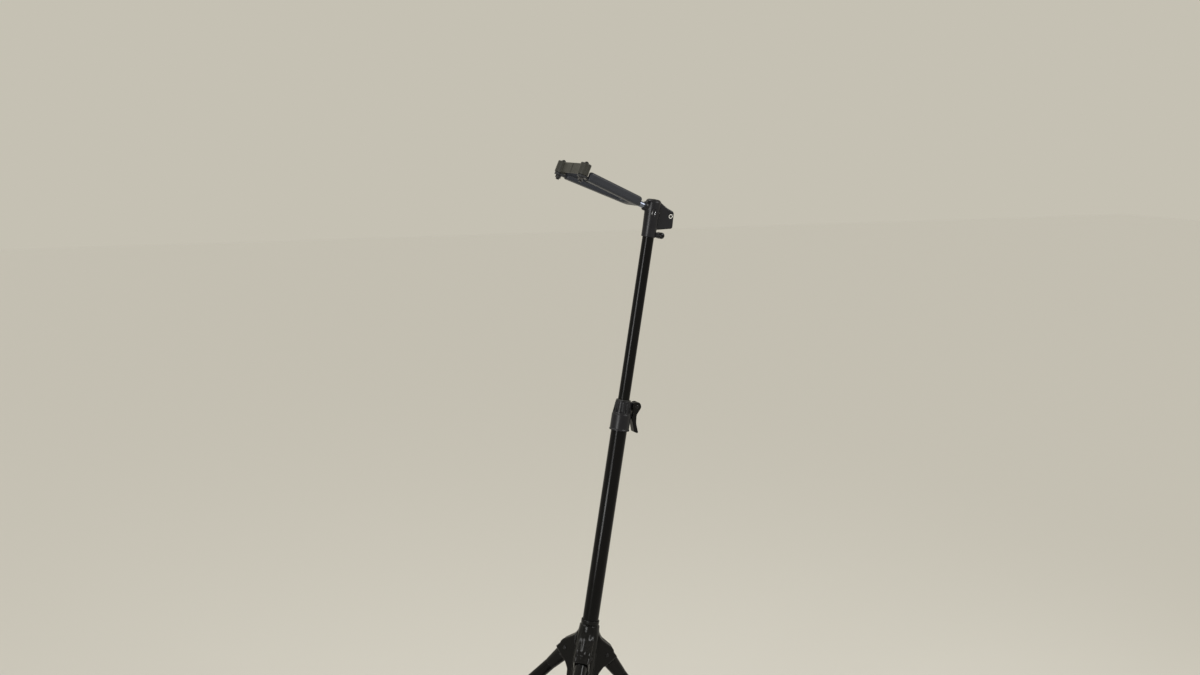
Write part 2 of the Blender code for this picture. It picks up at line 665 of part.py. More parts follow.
def make_cradle_arm(side, sign):
    arm = frame("cradle_" + side, MAST, (sign * CRADLE_PIVOT_SPREAD, -CRADLE_PIVOT_REACH, -CRADLE_DROP))
    radius = CRADLE_ROD_DIA / 2
    path = cradle_path(sign)
    rod = add("cradle_arm_" + side, rod_mesh("rod", path, radius, 3), arm, "dark steel")
    half = CRADLE_EYE_WIDTH / 2
    eye = add("cradle_eye_" + side, bar_mesh("eye", CRADLE_EYE_DIA / 2, -half, half), arm)
    start = add("cradle_rod_trim_" + side, box_mesh("trim", (-0.02, 0.0, -0.02), (0.02, 0.02, 0.02)), arm)
    hole = add("cradle_eye_hole_" + side, bar_mesh("hole", CRADLE_HOLE_R, -0.02, 0.02), arm)
    cut(rod, start)
    join(rod, eye)
    cut(rod, hole)
    smooth(rod)
    covered = along(path, CRADLE_PAD_START)
    pad_path, shares = domed(covered, CRADLE_PAD_DIA / 2)
    pad = add("cradle_pad_" + side, rod_mesh("pad", pad_path, CRADLE_PAD_DIA / 2, 3, shares), arm, "rubber")
    bore_path = along(path, CRADLE_PAD_START - 0.004)
    end = np.array(bore_path[-1])
    line = end - np.array(bore_path[-2])
    bore_path = bore_path[:-1] + [tuple(end + line / np.linalg.norm(line) * GAP)]
    cut(pad, add("cradle_pad_bore_" + side, rod_mesh("bore", bore_path, radius + GAP, 3), arm))
    smooth(pad)
    inner = -(CRADLE_EYE_WIDTH / 2 + GAP + 0.006)
    outer = CRADLE_EYE_WIDTH / 2 + GAP + BLOCK_CHEEK + GAP
    shank = CRADLE_PIN_DIA / 2
    profile = [(0.0, outer + 0.0016), (0.0026, outer + 0.0013), (0.0034, outer), (shank, outer),
               (shank, inner), (0.0, inner)]
    turned("cradle_pin_" + side, profile, MAST, "zinc", steps=16,
           place=(sign * CRADLE_PIVOT_SPREAD, -CRADLE_PIVOT_REACH, -CRADLE_DROP),
           turn=(0.0, sign * math.radians(90), 0.0))


CLUTCH = frame("clutch", MAST, (0.0, 0.0, CLUTCH_ABOVE_RING))


def make_clutch_body():
    sleeve = CLUTCH_SLEEVE_DIA / 2
    top = CLUTCH_TOP_DIA / 2
    seat = LOWER_TUBE_ABOVE_RING - CLUTCH_ABOVE_RING + GAP
    liner = UPPER_R + GAP + LINER_WALL + GAP
    shoulder = sleeve - 0.0006
    outer = [(top - 0.0005, CLUTCH_HEIGHT), (top, CLUTCH_HEIGHT - 0.0008),
             (shoulder, CLUTCH_SLEEVE_HEIGHT + 0.0012), (shoulder, CLUTCH_SLEEVE_HEIGHT + 0.0004),
             (sleeve, CLUTCH_SLEEVE_HEIGHT - 0.0004),
             (sleeve, 0.0026), (sleeve + CLUTCH_LIP, 0.0020), (sleeve + CLUTCH_LIP, 0.0006),
             (sleeve + CLUTCH_LIP - 0.0006, 0.0)]
    inner = [(MAST_BORE_R, 0.0), (MAST_BORE_R, seat), (liner, seat), (liner, CLUTCH_HEIGHT)]
    body = turned("clutch_body", outer + inner, CLUTCH, "satin moulding", steps=28, closed=True)
    flutes = bmesh.new()
    root = top + 0.0002
    foot = CLUTCH_SLEEVE_HEIGHT + 0.0020
    for k in range(1, FLUTE_COUNT):
        angle = math.pi / 2 + 2 * math.pi * k / FLUTE_COUNT
        made = bmesh.ops.create_cube(flutes, size=1.0)["verts"]
        bmesh.ops.scale(flutes, verts=made, vec=(0.006, FLUTE_WIDTH, FLUTE_HEIGHT))
        bmesh.ops.translate(flutes, verts=made, vec=(root + 0.003, 0.0, foot + FLUTE_HEIGHT / 2))
        bmesh.ops.rotate(flutes, verts=made, matrix=Matrix.Rotation(angle, 3, "Z"))
    flute_mesh = bpy.data.meshes.new("flutes")
    flutes.to_mesh(flute_mesh)
    flutes.free()
    cut(body, add("clutch_flutes", flute_mesh, CLUTCH))
    low, high = LEVER_PIVOT_RISE - EAR_RADIUS, LEVER_PIVOT_RISE + EAR_RADIUS
    tip = LEVER_PIVOT_BACK + EAR_RADIUS
    root_back = liner + 0.0006
    ear_outline = arc_round([(root_back, low, 0.0), (tip, low, EAR_RADIUS - 0.0001),
                             (tip, high, EAR_RADIUS - 0.0001), (root_back, high, 0.0)])
    join(body, add("clutch_ear", plate_mesh("ear", ear_outline, EAR_WIDTH, upright=True), CLUTCH))
    cut(body, add("clutch_pin_hole", bar_mesh("hole", LEVER_PIN_DIA / 2 + GAP, -0.01, 0.01), CLUTCH,
                  place=(0.0, LEVER_PIVOT_BACK, LEVER_PIVOT_RISE)))


def make_clutch_liner():
    """Thin nylon bush between the clutch and the upper tube, held by the flange at its top."""
    inner = UPPER_R + GAP
    outer = inner + LINER_WALL
    seat = CLUTCH_HEIGHT + GAP
    flange = outer + 0.0011
    profile = [(flange - 0.0004, seat + LINER_FLANGE), (flange, seat + LINER_FLANGE - 0.0004), (flange, seat),
               (outer, seat), (outer, seat - LINER_LENGTH), (inner, seat - LINER_LENGTH),
               (inner, seat + LINER_FLANGE)]
    turned("clutch_liner", profile, CLUTCH, "nylon", steps=20, closed=True)


def lever_outline():
    """Side view (back, up) about the pin: round hump, waist close to the sleeve, flared tail."""
    waist = -(LEVER_PIVOT_BACK - CLUTCH_SLEEVE_DIA / 2 - CLUTCH_LIP - 0.0006)
    hump = circle_arc((0.0, 0.0), LEVER_HUMP, math.radians(-25), math.radians(205))
    inside = [(waist, -0.0100, 0.004), (waist, -0.0200, 0.012), (0.0021, -LEVER_LENGTH + 0.0021, 0.0016)]
    outside = [(0.0096, -LEVER_LENGTH, 0.0016), (0.0030, -0.0255, 0.020), (0.0018, -0.0130, 0.008)]
    outline = [(u, v, 0.0) for u, v in hump] + inside + outside
    return arc_round(outline)


def make_clutch_lever():
    pivot = (0.0, LEVER_PIVOT_BACK, LEVER_PIVOT_RISE)
    lever_frame = frame("clutch_lever_axis", CLUTCH, pivot)
    lever = add("clutch_lever", plate_mesh("lever", lever_outline(), LEVER_WIDTH, upright=True), lever_frame,
                "satin moulding")
    soften(lever, 0.0012, segments=2, angle=50.0)
    half = EAR_WIDTH / 2 + GAP
    fork_shape = box_mesh("fork", (-half, -0.02, -EAR_RADIUS - LOOSE), (half, 0.02, 0.02))
    fork = add("lever_fork", fork_shape, lever_frame)
    hole = add("lever_hole", bar_mesh("hole", LEVER_PIN_DIA / 2 + GAP, -0.01, 0.01), lever_frame)
    cut(lever, fork, hole)
    rivet("clutch_lever_pin", LEVER_PIN_DIA / 2, 0.0030, LEVER_WIDTH / 2 + GAP, 0.0009, CLUTCH, "zinc",
          place=pivot)


UPPER = frame("upper_mast", MAST, (0.0, 0.0, HEAD_ABOVE_RING))
YOKE = frame("yoke", UPPER, (0.0, -STEM_MOUTH_FORWARD, STEM_MOUTH_RISE), (-YOKE_TILT, 0.0, 0.0))


def make_upper_mast():
    top = HEAD_SOCKET_DEPTH
    bottom = top - UPPER_TUBE_LENGTH
    tube("upper_tube", UPPER_R, UPPER_R - TUBE_WALL, bottom, top, UPPER, "gloss tube", steps=24)
    outer = LOWER_R - TUBE_WALL - GAP
    tube("guide_bush", outer, UPPER_R + GAP, bottom, bottom + BUSH_LENGTH, UPPER, "nylon", steps=20)


def make_head():
    """Moulded head: sleeve with a domed top, rear fin, front boss and split clamp at its foot."""
    low = HEAD_SLEEVE_DIA / 2
    high = HEAD_TOP_DIA / 2
    dome = [(high * math.cos(a), HEAD_HEIGHT - HEAD_CROWN + HEAD_CROWN * math.sin(a))
            for a in np.radians(range(90, -1, -30))]
    profile = dome + [(high, HEAD_HEIGHT - 0.014), (low, 0.012), (low, 0.0007), (low - 0.0007, 0.0),
                      (0.0, 0.0)]
    head = turned("head_body", profile, UPPER, "satin moulding", steps=28)
    back = FIN_REACH
    fin_outline = arc_round([
        (0.004, HEAD_HEIGHT - 0.0008, 0.0), (0.0114, HEAD_HEIGHT - 0.0036, 0.020),
        (0.0229, HEAD_HEIGHT - 0.0102, 0.020), (back - 0.0008, HEAD_HEIGHT - 0.0148, 0.0045),
        (back + 0.0006, 0.0178, 0.0035), (0.0140, 0.0131, 0.0), (0.004, 0.0125, 0.0)])
    fin = add("fin", plate_mesh("fin", fin_outline, FIN_THICKNESS, upright=True), UPPER)
    soften(fin, 0.0018)
    boss = add("stem_boss", bar_mesh("boss", STEM_BOSS_DIA / 2, 0.0, 0.013, "Y", 20), YOKE)
    soften(boss, 0.0008)
    lug_place = (0.0, HEAD_LUG_BACK, HEAD_LUG_RISE)
    half = HEAD_LUG_WIDTH / 2
    lug = add("clamp_lug", bar_mesh("lug", HEAD_LUG_DIA / 2, -half, half, "X", 16), UPPER, place=lug_place)
    soften(lug, 0.0006)
    web = add("clamp_web", box_mesh("web", (-half + 0.0016, UPPER_R + 0.001, HEAD_LUG_RISE - 0.0036),
                                    (half - 0.0016, HEAD_LUG_BACK, HEAD_LUG_RISE + 0.0036)), UPPER)
    join(head, fin, boss, lug, web)
    socket_shape = bar_mesh("socket", UPPER_R + GAP, -0.02, HEAD_SOCKET_DEPTH + GAP, "Z", 24)
    socket = add("tube_socket", socket_shape, UPPER)
    stem_shape = bar_mesh("stem", STEM_DIA / 2 + GAP, -0.02, STEM_INSERT + GAP, "Y", 20)
    stem_hole = add("stem_hole", stem_shape, YOKE)
    slit_back = HEAD_LUG_BACK + HEAD_LUG_DIA
    slit_shape = box_mesh("slit", (-HEAD_SLIT / 2, 0.0, -0.01), (HEAD_SLIT / 2, slit_back, 0.0125))
    slit = add("clamp_slit", slit_shape, UPPER)
    screw_shape = bar_mesh("hole", CLAMP_SCREW_DIA / 2 + GAP, -0.02, 0.02)
    screw_hole = add("clamp_screw_hole", screw_shape, UPPER, place=lug_place)
    eyelet_shape = bar_mesh("hole", EYELET_NECK_R + GAP, -0.02, 0.02)
    eyelet_hole = add("eyelet_hole", eyelet_shape, UPPER, place=(0.0, EYELET_BACK, EYELET_RISE))
    cut(head, socket, stem_hole, slit, screw_hole, eyelet_hole)
    half_width = GRIP_SLOT_WIDTH / 2
    half_height = GRIP_SLOT_HEIGHT / 2
    corner = GRIP_SLOT_WIDTH * 0.38
    shape = arc_round([(-half_width, -half_height, corner), (half_width, -half_height, corner),
                       (half_width, half_height, corner), (-half_width, half_height, corner)],
                      step=math.radians(45))
    slot_shape = plate_mesh("grip_slot", shape, 0.0066, upright=True, shift=HEAD_TOP_DIA / 2 + 0.002)
    rise = HEAD_HEIGHT - 0.0155 - half_height
    for number, angle in enumerate((-90.0, -67.0, 67.0, 90.0)):
        turn = (0.0, 0.0, math.radians(angle - 90))
        cut(head, add("grip_slot_" + str(number), slot_shape, UPPER, place=(0.0, 0.0, rise), turn=turn))


def make_head_fastenings():
    place = (0.0, HEAD_LUG_BACK, HEAD_LUG_RISE)
    seat = HEAD_LUG_WIDTH / 2 + GAP
    shank = CLAMP_SCREW_DIA / 2
    screw = [(0.0, seat + 0.0018), (0.0014, seat + 0.0018), (0.0014, seat + 0.0030), (0.0030, seat + 0.0030),
             (0.0036, seat + 0.0022), (0.0036, seat), (shank, seat), (shank, -seat - 0.0034),
             (0.0, -seat - 0.0034)]
    turned("head_clamp_screw", screw, UPPER, "zinc", steps=18, place=place, turn=(0.0, math.radians(90), 0.0))
    nut_shape = bar_mesh("nut", 0.0038, -seat - 0.0030, -seat, sides=6)
    nut = add("head_clamp_nut", nut_shape, UPPER, "zinc", place=place)
    cut(nut, add("clamp_nut_bore", bar_mesh("bore", shank + GAP, -0.02, 0.0, "X", 18), UPPER, place=place))
    face = FIN_THICKNESS / 2 + GAP
    collar = face + EYELET_RIM
    rim = EYELET_DIA / 2
    hole = EYELET_BORE / 2
    eyelet = [(rim - 0.0003, collar), (rim, face + 0.0004), (rim, face), (EYELET_NECK_R, face),
              (EYELET_NECK_R, -face), (rim, -face), (rim, -face - 0.0004), (rim - 0.0003, -collar),
              (hole + 0.0004, -collar), (hole, -face), (hole, face), (hole + 0.0004, collar)]
    turned("head_eyelet", eyelet, UPPER, "zinc", steps=12, closed=True,
           place=(0.0, EYELET_BACK, EYELET_RISE), turn=(0.0, math.radians(90), 0.0))


def arm_outer(reach):
    """Half-width of the yoke at the outer side of its arms, at a distance forward."""
    spread = GATE_PIVOT_SPREAD + YOKE_ARM_WIDTH / 2 / math.cos(arm_splay())
    share = (reach - YOKE_BACK) / (GATE_PIVOT_REACH - YOKE_BACK)
    return YOKE_BACK_HALF_WIDTH + (spread - YOKE_BACK_HALF_WIDTH) * share


def arm_splay():
    """Angle of an arm from straight forward."""
    run = GATE_PIVOT_REACH - YOKE_BACK
    spread = GATE_PIVOT_SPREAD - (YOKE_BACK_HALF_WIDTH - YOKE_ARM_WIDTH / 2)
    return math.atan2(spread, run)


def arm_middle(reach):
    return arm_outer(reach) - YOKE_ARM_WIDTH / 2 / math.cos(arm_splay())


def both_sides(right):
    """A closed outline from its right half, seen from above with the front at -Y."""
    flipped = [(-x, -reach, radius) for x, reach, radius in reversed(right)]
    return arc_round([(x, -reach, radius) for x, reach, radius in right] + flipped)


def cover_outline():
    wide = YOKE_ARM_WIDTH / math.cos(arm_splay())
    return both_sides([
        (arm_outer(YOKE_BACK) - 0.0005, YOKE_BACK, 0.009),
        (arm_outer(YOKE_ARM_END), YOKE_ARM_END, YOKE_ROUNDING * 1.15),
        (arm_outer(YOKE_ARM_END) - wide, YOKE_ARM_END, YOKE_ROUNDING * 1.15),
        (arm_outer(YOKE_THROAT) - wide, YOKE_THROAT, 0.0095)])


def frame_outline(grow=0.0):
    wide = FRAME_WIDTH / 2 / math.cos(arm_splay()) + grow
    back = YOKE_BACK + 0.0040
    front = YOKE_THROAT - 0.0035
    tab = TAB_WIDTH / 2 + grow
    neck = GATE_PIVOT_REACH - TAB_WIDTH / 2 - 0.001 - grow
    tip = GATE_PIVOT_REACH + TAB_WIDTH / 2 + grow
    middle = GATE_PIVOT_SPREAD
    return both_sides([
        (arm_middle(back) + wide, back - grow, 0.004),
        (arm_middle(neck) + wide, neck, 0.0),
        (middle + tab, neck + 0.003, 0.003),
        (middle + tab, tip, 0.0062),
        (middle - tab, tip, 0.0062),
        (middle - tab, neck + 0.003, 0.003),
        (arm_middle(neck) - wide, neck, 0.0),
        (arm_middle(front) - wide, front + grow, 0.004)])


def make_yoke():
    """Steel frame of the yoke with its stem, inside a moulded rubber cover."""
    steel = add("yoke_frame", plate_mesh("frame", frame_outline(), FRAME_THICKNESS, shift=FRAME_MIDDLE), YOKE,
                "grey steel")
    stem_end = -(YOKE_THROAT - 0.005)
    stem = add("stem", bar_mesh("stem", STEM_DIA / 2, stem_end, STEM_INSERT, "Y", 20), YOKE)
    join(steel, stem)
    cover = add("yoke_cover", plate_mesh("cover", cover_outline(), YOKE_THICKNESS), YOKE, "rubber")
    soften(cover, YOKE_ROUNDING, segments=3)
    cavity_shape = plate_mesh("cavity", frame_outline(GAP), FRAME_THICKNESS + 2 * GAP, shift=FRAME_MIDDLE)
    cavity = add("cover_cavity", cavity_shape, YOKE)
    room_shape = bar_mesh("room", STEM_DIA / 2 + GAP, stem_end - GAP, 0.0, "Y", 20)
    stem_room = add("cover_stem_room", room_shape, YOKE)
    cut(cover, cavity, stem_room)
    for side, sign in (("left", -1), ("right", 1)):
        place = (sign * GATE_PIVOT_SPREAD, -GATE_PIVOT_REACH, 0.0)
        hole_shape = bar_mesh("hole", GATE_PIN_DIA / 2 + GAP, -0.01, 0.01, "Z", 20)
        hole = add("tab_hole_" + side, hole_shape, YOKE, place=place)
        cut(steel, hole)
        fan_top = YOKE_THICKNESS
        fan_foot = BLADE_FOOT - GAP
        fan = plate_mesh("gate_room", gate_room_outline(sign), fan_top - fan_foot,
                         shift=(fan_top + fan_foot) / 2)
        cut(cover, add("gate_room_" + side, fan, YOKE, place=place))
    smooth(cover)
    smooth(steel)


def gate_room_outline(sign):
    """Plan of the recess that a gate's blade swings into, about its pin.

    The blade points to the middle of the yoke when shut and turns back towards the mast.
    """
    half = GATE_THICKNESS / 2 + 2 * GAP
    reach = GATE_PIVOT_SPREAD + LOOSE
    last = GATE_SWING + math.radians(2)
    tip = [(-reach * math.cos(a), reach * math.sin(a)) for a in np.linspace(0.0, last, 7)]
    side = (half * math.sin(last), half * math.cos(last))
    line = (-math.cos(last), math.sin(last))
    outer = [(side[0] + line[0] * reach, side[1] + line[1] * reach), side]
    outline = [(half, -half), (-reach, -half)] + tip[1:] + outer
    return [(sign * x, y) for x, y in outline]


def make_gate(side, sign):
    """One gate of the yoke: a barrel on its pin with a blade to the middle, and its spring."""
    pivot = (sign * GATE_PIVOT_SPREAD, -GATE_PIVOT_REACH, 0.0)
    gate = frame("gate_axis_" + side, YOKE, pivot)
    radius = GATE_BARREL_DIA / 2
    top = GATE_FOOT + GATE_HEIGHT
    profile = [(0.0, top), (radius - 0.0015, top), (radius - 0.0004, top - 0.0006), (radius, top - 0.0018),
               (radius, GATE_FOOT + 0.0006), (radius - 0.0006, GATE_FOOT), (0.0, GATE_FOOT)]
    barrel = turned("gate_" + side, profile, gate, "olive moulding", steps=24)
    length = GATE_PIVOT_SPREAD - GATE_MEETING_GAP / 2
    half = GATE_THICKNESS / 2
    outline = [(-x * sign, y) for x, y in arc_round([
        (0.0, -half, 0.0), (length, -half, half * 0.9), (length, half, half * 0.9), (0.0, half, 0.0)])]
    blade_top = top - 0.0004
    blade_shape = plate_mesh("blade", outline, blade_top - BLADE_FOOT, shift=(blade_top + BLADE_FOOT) / 2)
    blade = add("blade_" + side, blade_shape, gate)
    soften(blade, 0.0007, segments=1, angle=60.0)
    join(barrel, blade)
    pocket = add("spring_pocket_" + side, bar_mesh("pocket", SPRING_POCKET_DIA / 2, GATE_FOOT - 0.01,
                                                   GATE_FOOT + SPRING_POCKET_DEPTH, "Z", 18), gate)
    hole = add("gate_hole_" + side, bar_mesh("hole", GATE_PIN_DIA / 2 + GAP, -0.03, 0.03, "Z", 16), gate)
    cut(barrel, pocket, hole)
    shank = GATE_PIN_DIA / 2
    seat = top + GAP
    foot = FRAME_TOP - FRAME_THICKNESS - GAP
    tail = foot - GATE_NUT_HEIGHT - 0.0024
    pin = [(0.0, seat + 0.0028), (0.0018, seat + 0.0024), (0.0030, seat + 0.0012), (0.0033, seat),
           (shank, seat), (shank, tail + 0.0006), (shank - 0.0006, tail), (0.0, tail)]
    turned("gate_pin_" + side, pin, YOKE, "dark steel", steps=14, place=pivot)
    nut = bar_mesh("nut", GATE_NUT_WIDTH / 2 / math.cos(math.pi / 6), foot - GATE_NUT_HEIGHT, foot, "Z", 6)
    nut_piece = add("gate_nut_" + side, nut, YOKE, "dark steel", place=pivot)
    nut_bore = bar_mesh("bore", shank + GAP, -0.03, 0.0, "Z", 20)
    cut(nut_piece, add("gate_nut_bore_" + side, nut_bore, YOKE, place=pivot))
    first = GATE_FOOT + SPRING_WIRE / 2 + GAP
    steps = 9
    count = int(SPRING_TURNS * steps)
    mean = SPRING_DIA / 2
    coil = [(mean * math.cos(2 * math.pi * k / steps), sign * mean * math.sin(2 * math.pi * k / steps),
             first + SPRING_PITCH * k / steps) for k in range(count + 1)]
    add("gate_spring_" + side, rod_mesh("spring", coil, SPRING_WIRE / 2, 1), YOKE, "zinc", place=pivot)


def centre_on_footprint():
    """Slide the stand along Y so that the origin lies under the middle of its box."""
    bpy.context.view_layer.update()
    graph = bpy.context.evaluated_depsgraph_get()
    rows = []
    for obj in PARTS.objects:
        if obj.type != "MESH":
            continue
        shape = obj.evaluated_get(graph).to_mesh()
        flat = np.empty(len(shape.vertices) * 3)
        shape.vertices.foreach_get("co", flat)
        points = flat.reshape(-1, 3)
        world = np.array(obj.matrix_world)
        rows.append(points @ world[:3, :3].T + world[:3, 3])
    back = np.vstack(rows)[:, 1]
    STAND.location.y = -float(back.min() + back.max()) / 2


make_lower_mast()
make_leg_hub()
for leg_side in leg_headings():
    make_leg(leg_side)
make_cradle_block()
for arm_side, arm_sign in (("left", -1), ("right", 1)):
    make_cradle_arm(arm_side, arm_sign)
make_clutch_body()
make_clutch_liner()
make_clutch_lever()
make_upper_mast()
make_head()
make_head_fastenings()
make_yoke()
for gate_side, gate_sign in (("left", -1), ("right", 1)):
    make_gate(gate_side, gate_sign)
centre_on_footprint()
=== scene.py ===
"""Guitar stand: telescopic mast on a folding tripod, with a rubber cradle and a gated yoke.

Metres, +Z up, the front at -Y. Every piece is worked out in the frame of the joint that carries
it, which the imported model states, and its place is then put into its mesh.
"""
import json
import math
import bpy
import numpy as np
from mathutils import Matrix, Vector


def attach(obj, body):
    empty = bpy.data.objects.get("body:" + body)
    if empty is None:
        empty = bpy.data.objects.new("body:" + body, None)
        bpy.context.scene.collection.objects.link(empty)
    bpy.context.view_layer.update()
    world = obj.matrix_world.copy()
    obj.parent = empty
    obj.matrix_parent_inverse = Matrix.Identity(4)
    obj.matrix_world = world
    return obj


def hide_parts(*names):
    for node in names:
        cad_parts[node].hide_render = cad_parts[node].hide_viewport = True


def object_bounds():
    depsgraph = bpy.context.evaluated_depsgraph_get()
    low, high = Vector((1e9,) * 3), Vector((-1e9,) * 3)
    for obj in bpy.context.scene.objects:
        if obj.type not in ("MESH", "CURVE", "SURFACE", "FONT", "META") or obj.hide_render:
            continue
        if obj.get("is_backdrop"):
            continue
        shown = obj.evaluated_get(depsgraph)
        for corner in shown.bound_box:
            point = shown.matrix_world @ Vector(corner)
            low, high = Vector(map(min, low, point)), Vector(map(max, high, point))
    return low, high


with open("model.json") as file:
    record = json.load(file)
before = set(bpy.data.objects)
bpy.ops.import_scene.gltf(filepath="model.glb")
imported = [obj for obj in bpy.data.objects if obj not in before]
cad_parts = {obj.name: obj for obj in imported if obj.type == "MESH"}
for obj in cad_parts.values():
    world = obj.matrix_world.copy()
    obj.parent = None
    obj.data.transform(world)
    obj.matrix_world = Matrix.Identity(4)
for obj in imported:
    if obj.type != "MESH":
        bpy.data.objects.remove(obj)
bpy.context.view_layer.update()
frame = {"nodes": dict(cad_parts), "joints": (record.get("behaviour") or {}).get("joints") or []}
joints = {joint["name"]: joint for joint in frame["joints"]}
bpy.context.scene.view_settings.view_transform = "Standard"


# Lower mast tube: welded steel, 25 mm across, powder coated in gloss black. It runs down through
# the hub to the cradle block, and its upper end is hidden in the clutch.

def seat(origin, up, aside=(1.0, 0.0, 0.0)):
    """Frame of a piece as a 4 x 4 matrix: Z along up, X as near to aside as that allows."""
    up = np.array(up, float) / np.linalg.norm(up)
    aside = np.array(aside, float)
    aside = aside - up * (aside @ up)
    aside /= np.linalg.norm(aside)
    matrix = np.eye(4)
    matrix[:3] = np.column_stack([aside, np.cross(up, aside), up, origin])
    return matrix


def added(name, data):
    """A new object of the scene, made from a mesh, a lamp or a lens."""
    obj = bpy.data.objects.new(name, data)
    bpy.context.scene.collection.objects.link(obj)
    return obj


def put(name, points, *faces, place=np.eye(4)):
    """A smooth-shaded mesh from arrays of points and of triangles or quads, placed by a frame."""
    world = points @ place[:3, :3].T + place[:3, 3]
    mesh = bpy.data.meshes.new(name)
    mesh.vertices.add(len(world))
    mesh.vertices.foreach_set("co", world.astype(np.float32).ravel())
    sizes = np.concatenate([np.full(len(f), f.shape[1]) for f in faces])
    loops = np.concatenate([f.ravel() for f in faces])
    mesh.loops.add(len(loops))
    mesh.loops.foreach_set("vertex_index", loops.astype(np.int32))
    mesh.polygons.add(len(sizes))
    mesh.polygons.foreach_set("loop_start", (np.cumsum(sizes) - sizes).astype(np.int32))
    mesh.update(calc_edges=True)
    mesh.validate()
    mesh.shade_smooth()
    return added(name, mesh)


def rounded(corners, step=math.radians(9)):
    """A profile, outline or path whose corners (coordinates, radius) become tangent arcs.

    An arc's centre lies radius / sin(half the corner's angle) along the corner's bisector.
    """
    spots = np.array([corner[:-1] for corner in corners], float)
    result = []
    for index, (spot, radius) in enumerate(zip(spots, [corner[-1] for corner in corners])):
        if radius <= 0:
            result.append(spot[None])
            continue
        before = spots[index - 1] - spot
        after = spots[(index + 1) % len(spots)] - spot
        before /= np.linalg.norm(before)
        after /= np.linalg.norm(after)
        inside = math.acos(float(np.clip(before @ after, -1, 1)))
        sweep = math.pi - inside
        if sweep < 0.01:
            result.append(spot[None])
            continue
        centre = spot + (before + after) / np.linalg.norm(before + after) * radius / math.sin(inside / 2)
        first = spot + before * radius / math.tan(inside / 2) - centre
        last = spot + after * radius / math.tan(inside / 2) - centre
        share = np.linspace(0, 1, max(3, math.ceil(sweep / step) + 1))[:, None]
        spoke = np.sin((1 - share) * sweep) * first + np.sin(share * sweep) * last
        result.append(centre + spoke / math.sin(sweep))
    return np.concatenate(result)


def lathe(name, profile, place, around=96, ring=False, turn="Z"):
    """A profile turned about Z: the point (r, z) at angle a goes to (r cos a, r sin a, z).

    A ring profile closes on itself; any other starts and ends on the axis, at its two poles.
    With turn X the shape's axis is laid along X.
    """
    profile = np.asarray(profile, float)
    angle = np.arange(around) * 2 * math.pi / around
    rows = len(profile)
    radius, height = profile[:, :1], profile[:, 1:]
    grid = np.stack([radius * np.cos(angle), radius * np.sin(angle), height + 0 * angle], -1)
    points = grid.reshape(-1, 3)
    if turn == "X":
        points = points[:, [2, 0, 1]]
    row = np.arange(rows if ring else rows - 1)
    column = np.arange(around)
    at = lambda r, c: (r % rows)[:, None] * around + (c % around)[None]
    corners = [at(row, column), at(row + 1, column), at(row + 1, column + 1), at(row, column + 1)]
    quads = np.stack(corners, -1).reshape(-1, 4)
    if ring:
        return put(name, points, quads, place=place)
    foot = (rows - 1) * around
    joined = np.arange(len(points))
    joined[:around] = 0
    joined[foot:] = foot
    top_fan = joined[quads[:around]][:, [0, 1, 2]]
    foot_fan = joined[quads[-around:]][:, [0, 1, 3]]
    wall = quads[around:-around]
    keep = np.unique(np.concatenate([top_fan.ravel(), foot_fan.ravel(), wall.ravel()]))
    new = np.zeros(len(points), int)
    new[keep] = np.arange(len(keep))
    return put(name, points[keep], new[top_fan], new[wall], new[foot_fan], place=place)


def tube_profile(outer, inner, foot, top, edge=0.0004):
    """Closed wall of a tube, down its outer side and up its bore, with broken edges."""
    return rounded([(outer, top, edge), (outer, foot, edge), (inner, foot, edge), (inner, top, edge)])


def group(name, inputs, outputs):
    """An empty shader node group with number inputs, their values, and number outputs."""
    tree = bpy.data.node_groups.new(name, "ShaderNodeTree")
    for label, value in inputs.items():
        socket = tree.interface.new_socket(label, in_out="INPUT", socket_type="NodeSocketFloat")
        socket.default_value = value
    for label in outputs:
        tree.interface.new_socket(label, in_out="OUTPUT", socket_type="NodeSocketFloat")
    return tree, tree.nodes.new("NodeGroupInput").outputs, tree.nodes.new("NodeGroupOutput").inputs


def node(tree, kind, links=None, **values):
    """A shader node with its sockets set, or linked where the value is another socket."""
    made = tree.nodes.new("ShaderNode" + kind)
    for key, value in values.items():
        setattr(made, key, value)
    for key, value in (links or {}).items():
        socket = made.inputs[key]
        if isinstance(value, bpy.types.NodeSocket):
            tree.links.new(value, socket)
        else:
            socket.default_value = value
    return made


def maths(tree, operation, *terms):
    """The result of one Math node on its terms, each a number or a socket."""
    return node(tree, "Math", dict(enumerate(terms)), operation=operation).outputs[0]


def remap(tree, value, start, full, low=0.0, high=1.0):
    """Low where the value is at start, going evenly to high where it is at full."""
    links = {"Value": value, "From Min": start, "From Max": full, "To Min": low, "To Max": high}
    return node(tree, "MapRange", links).outputs["Result"]


def noise(tree, scale, detail, vector=None, **more):
    """Noise of a scale, on the object's own coordinates where no other vector is given."""
    if vector is None:
        vector = node(tree, "TexCoord").outputs["Object"]
    links = {"Vector": vector, "Scale": scale, "Detail": detail, **more}
    return node(tree, "TexNoise", links).outputs["Fac"]


def tinted(tree, share, low, high):
    """Colour low going to colour high by a share; low may be a socket."""
    mix = tree.nodes.new("ShaderNodeMix")
    mix.data_type = "RGBA"
    first, second = [socket for socket in mix.inputs if socket.type == "RGBA"]
    if isinstance(low, bpy.types.NodeSocket):
        tree.links.new(low, first)
    else:
        first.default_value = (*low, 1)
    second.default_value = (*high, 1)
    tree.links.new(share, mix.inputs["Factor"])
    return [socket for socket in mix.outputs if socket.type == "RGBA"][0]


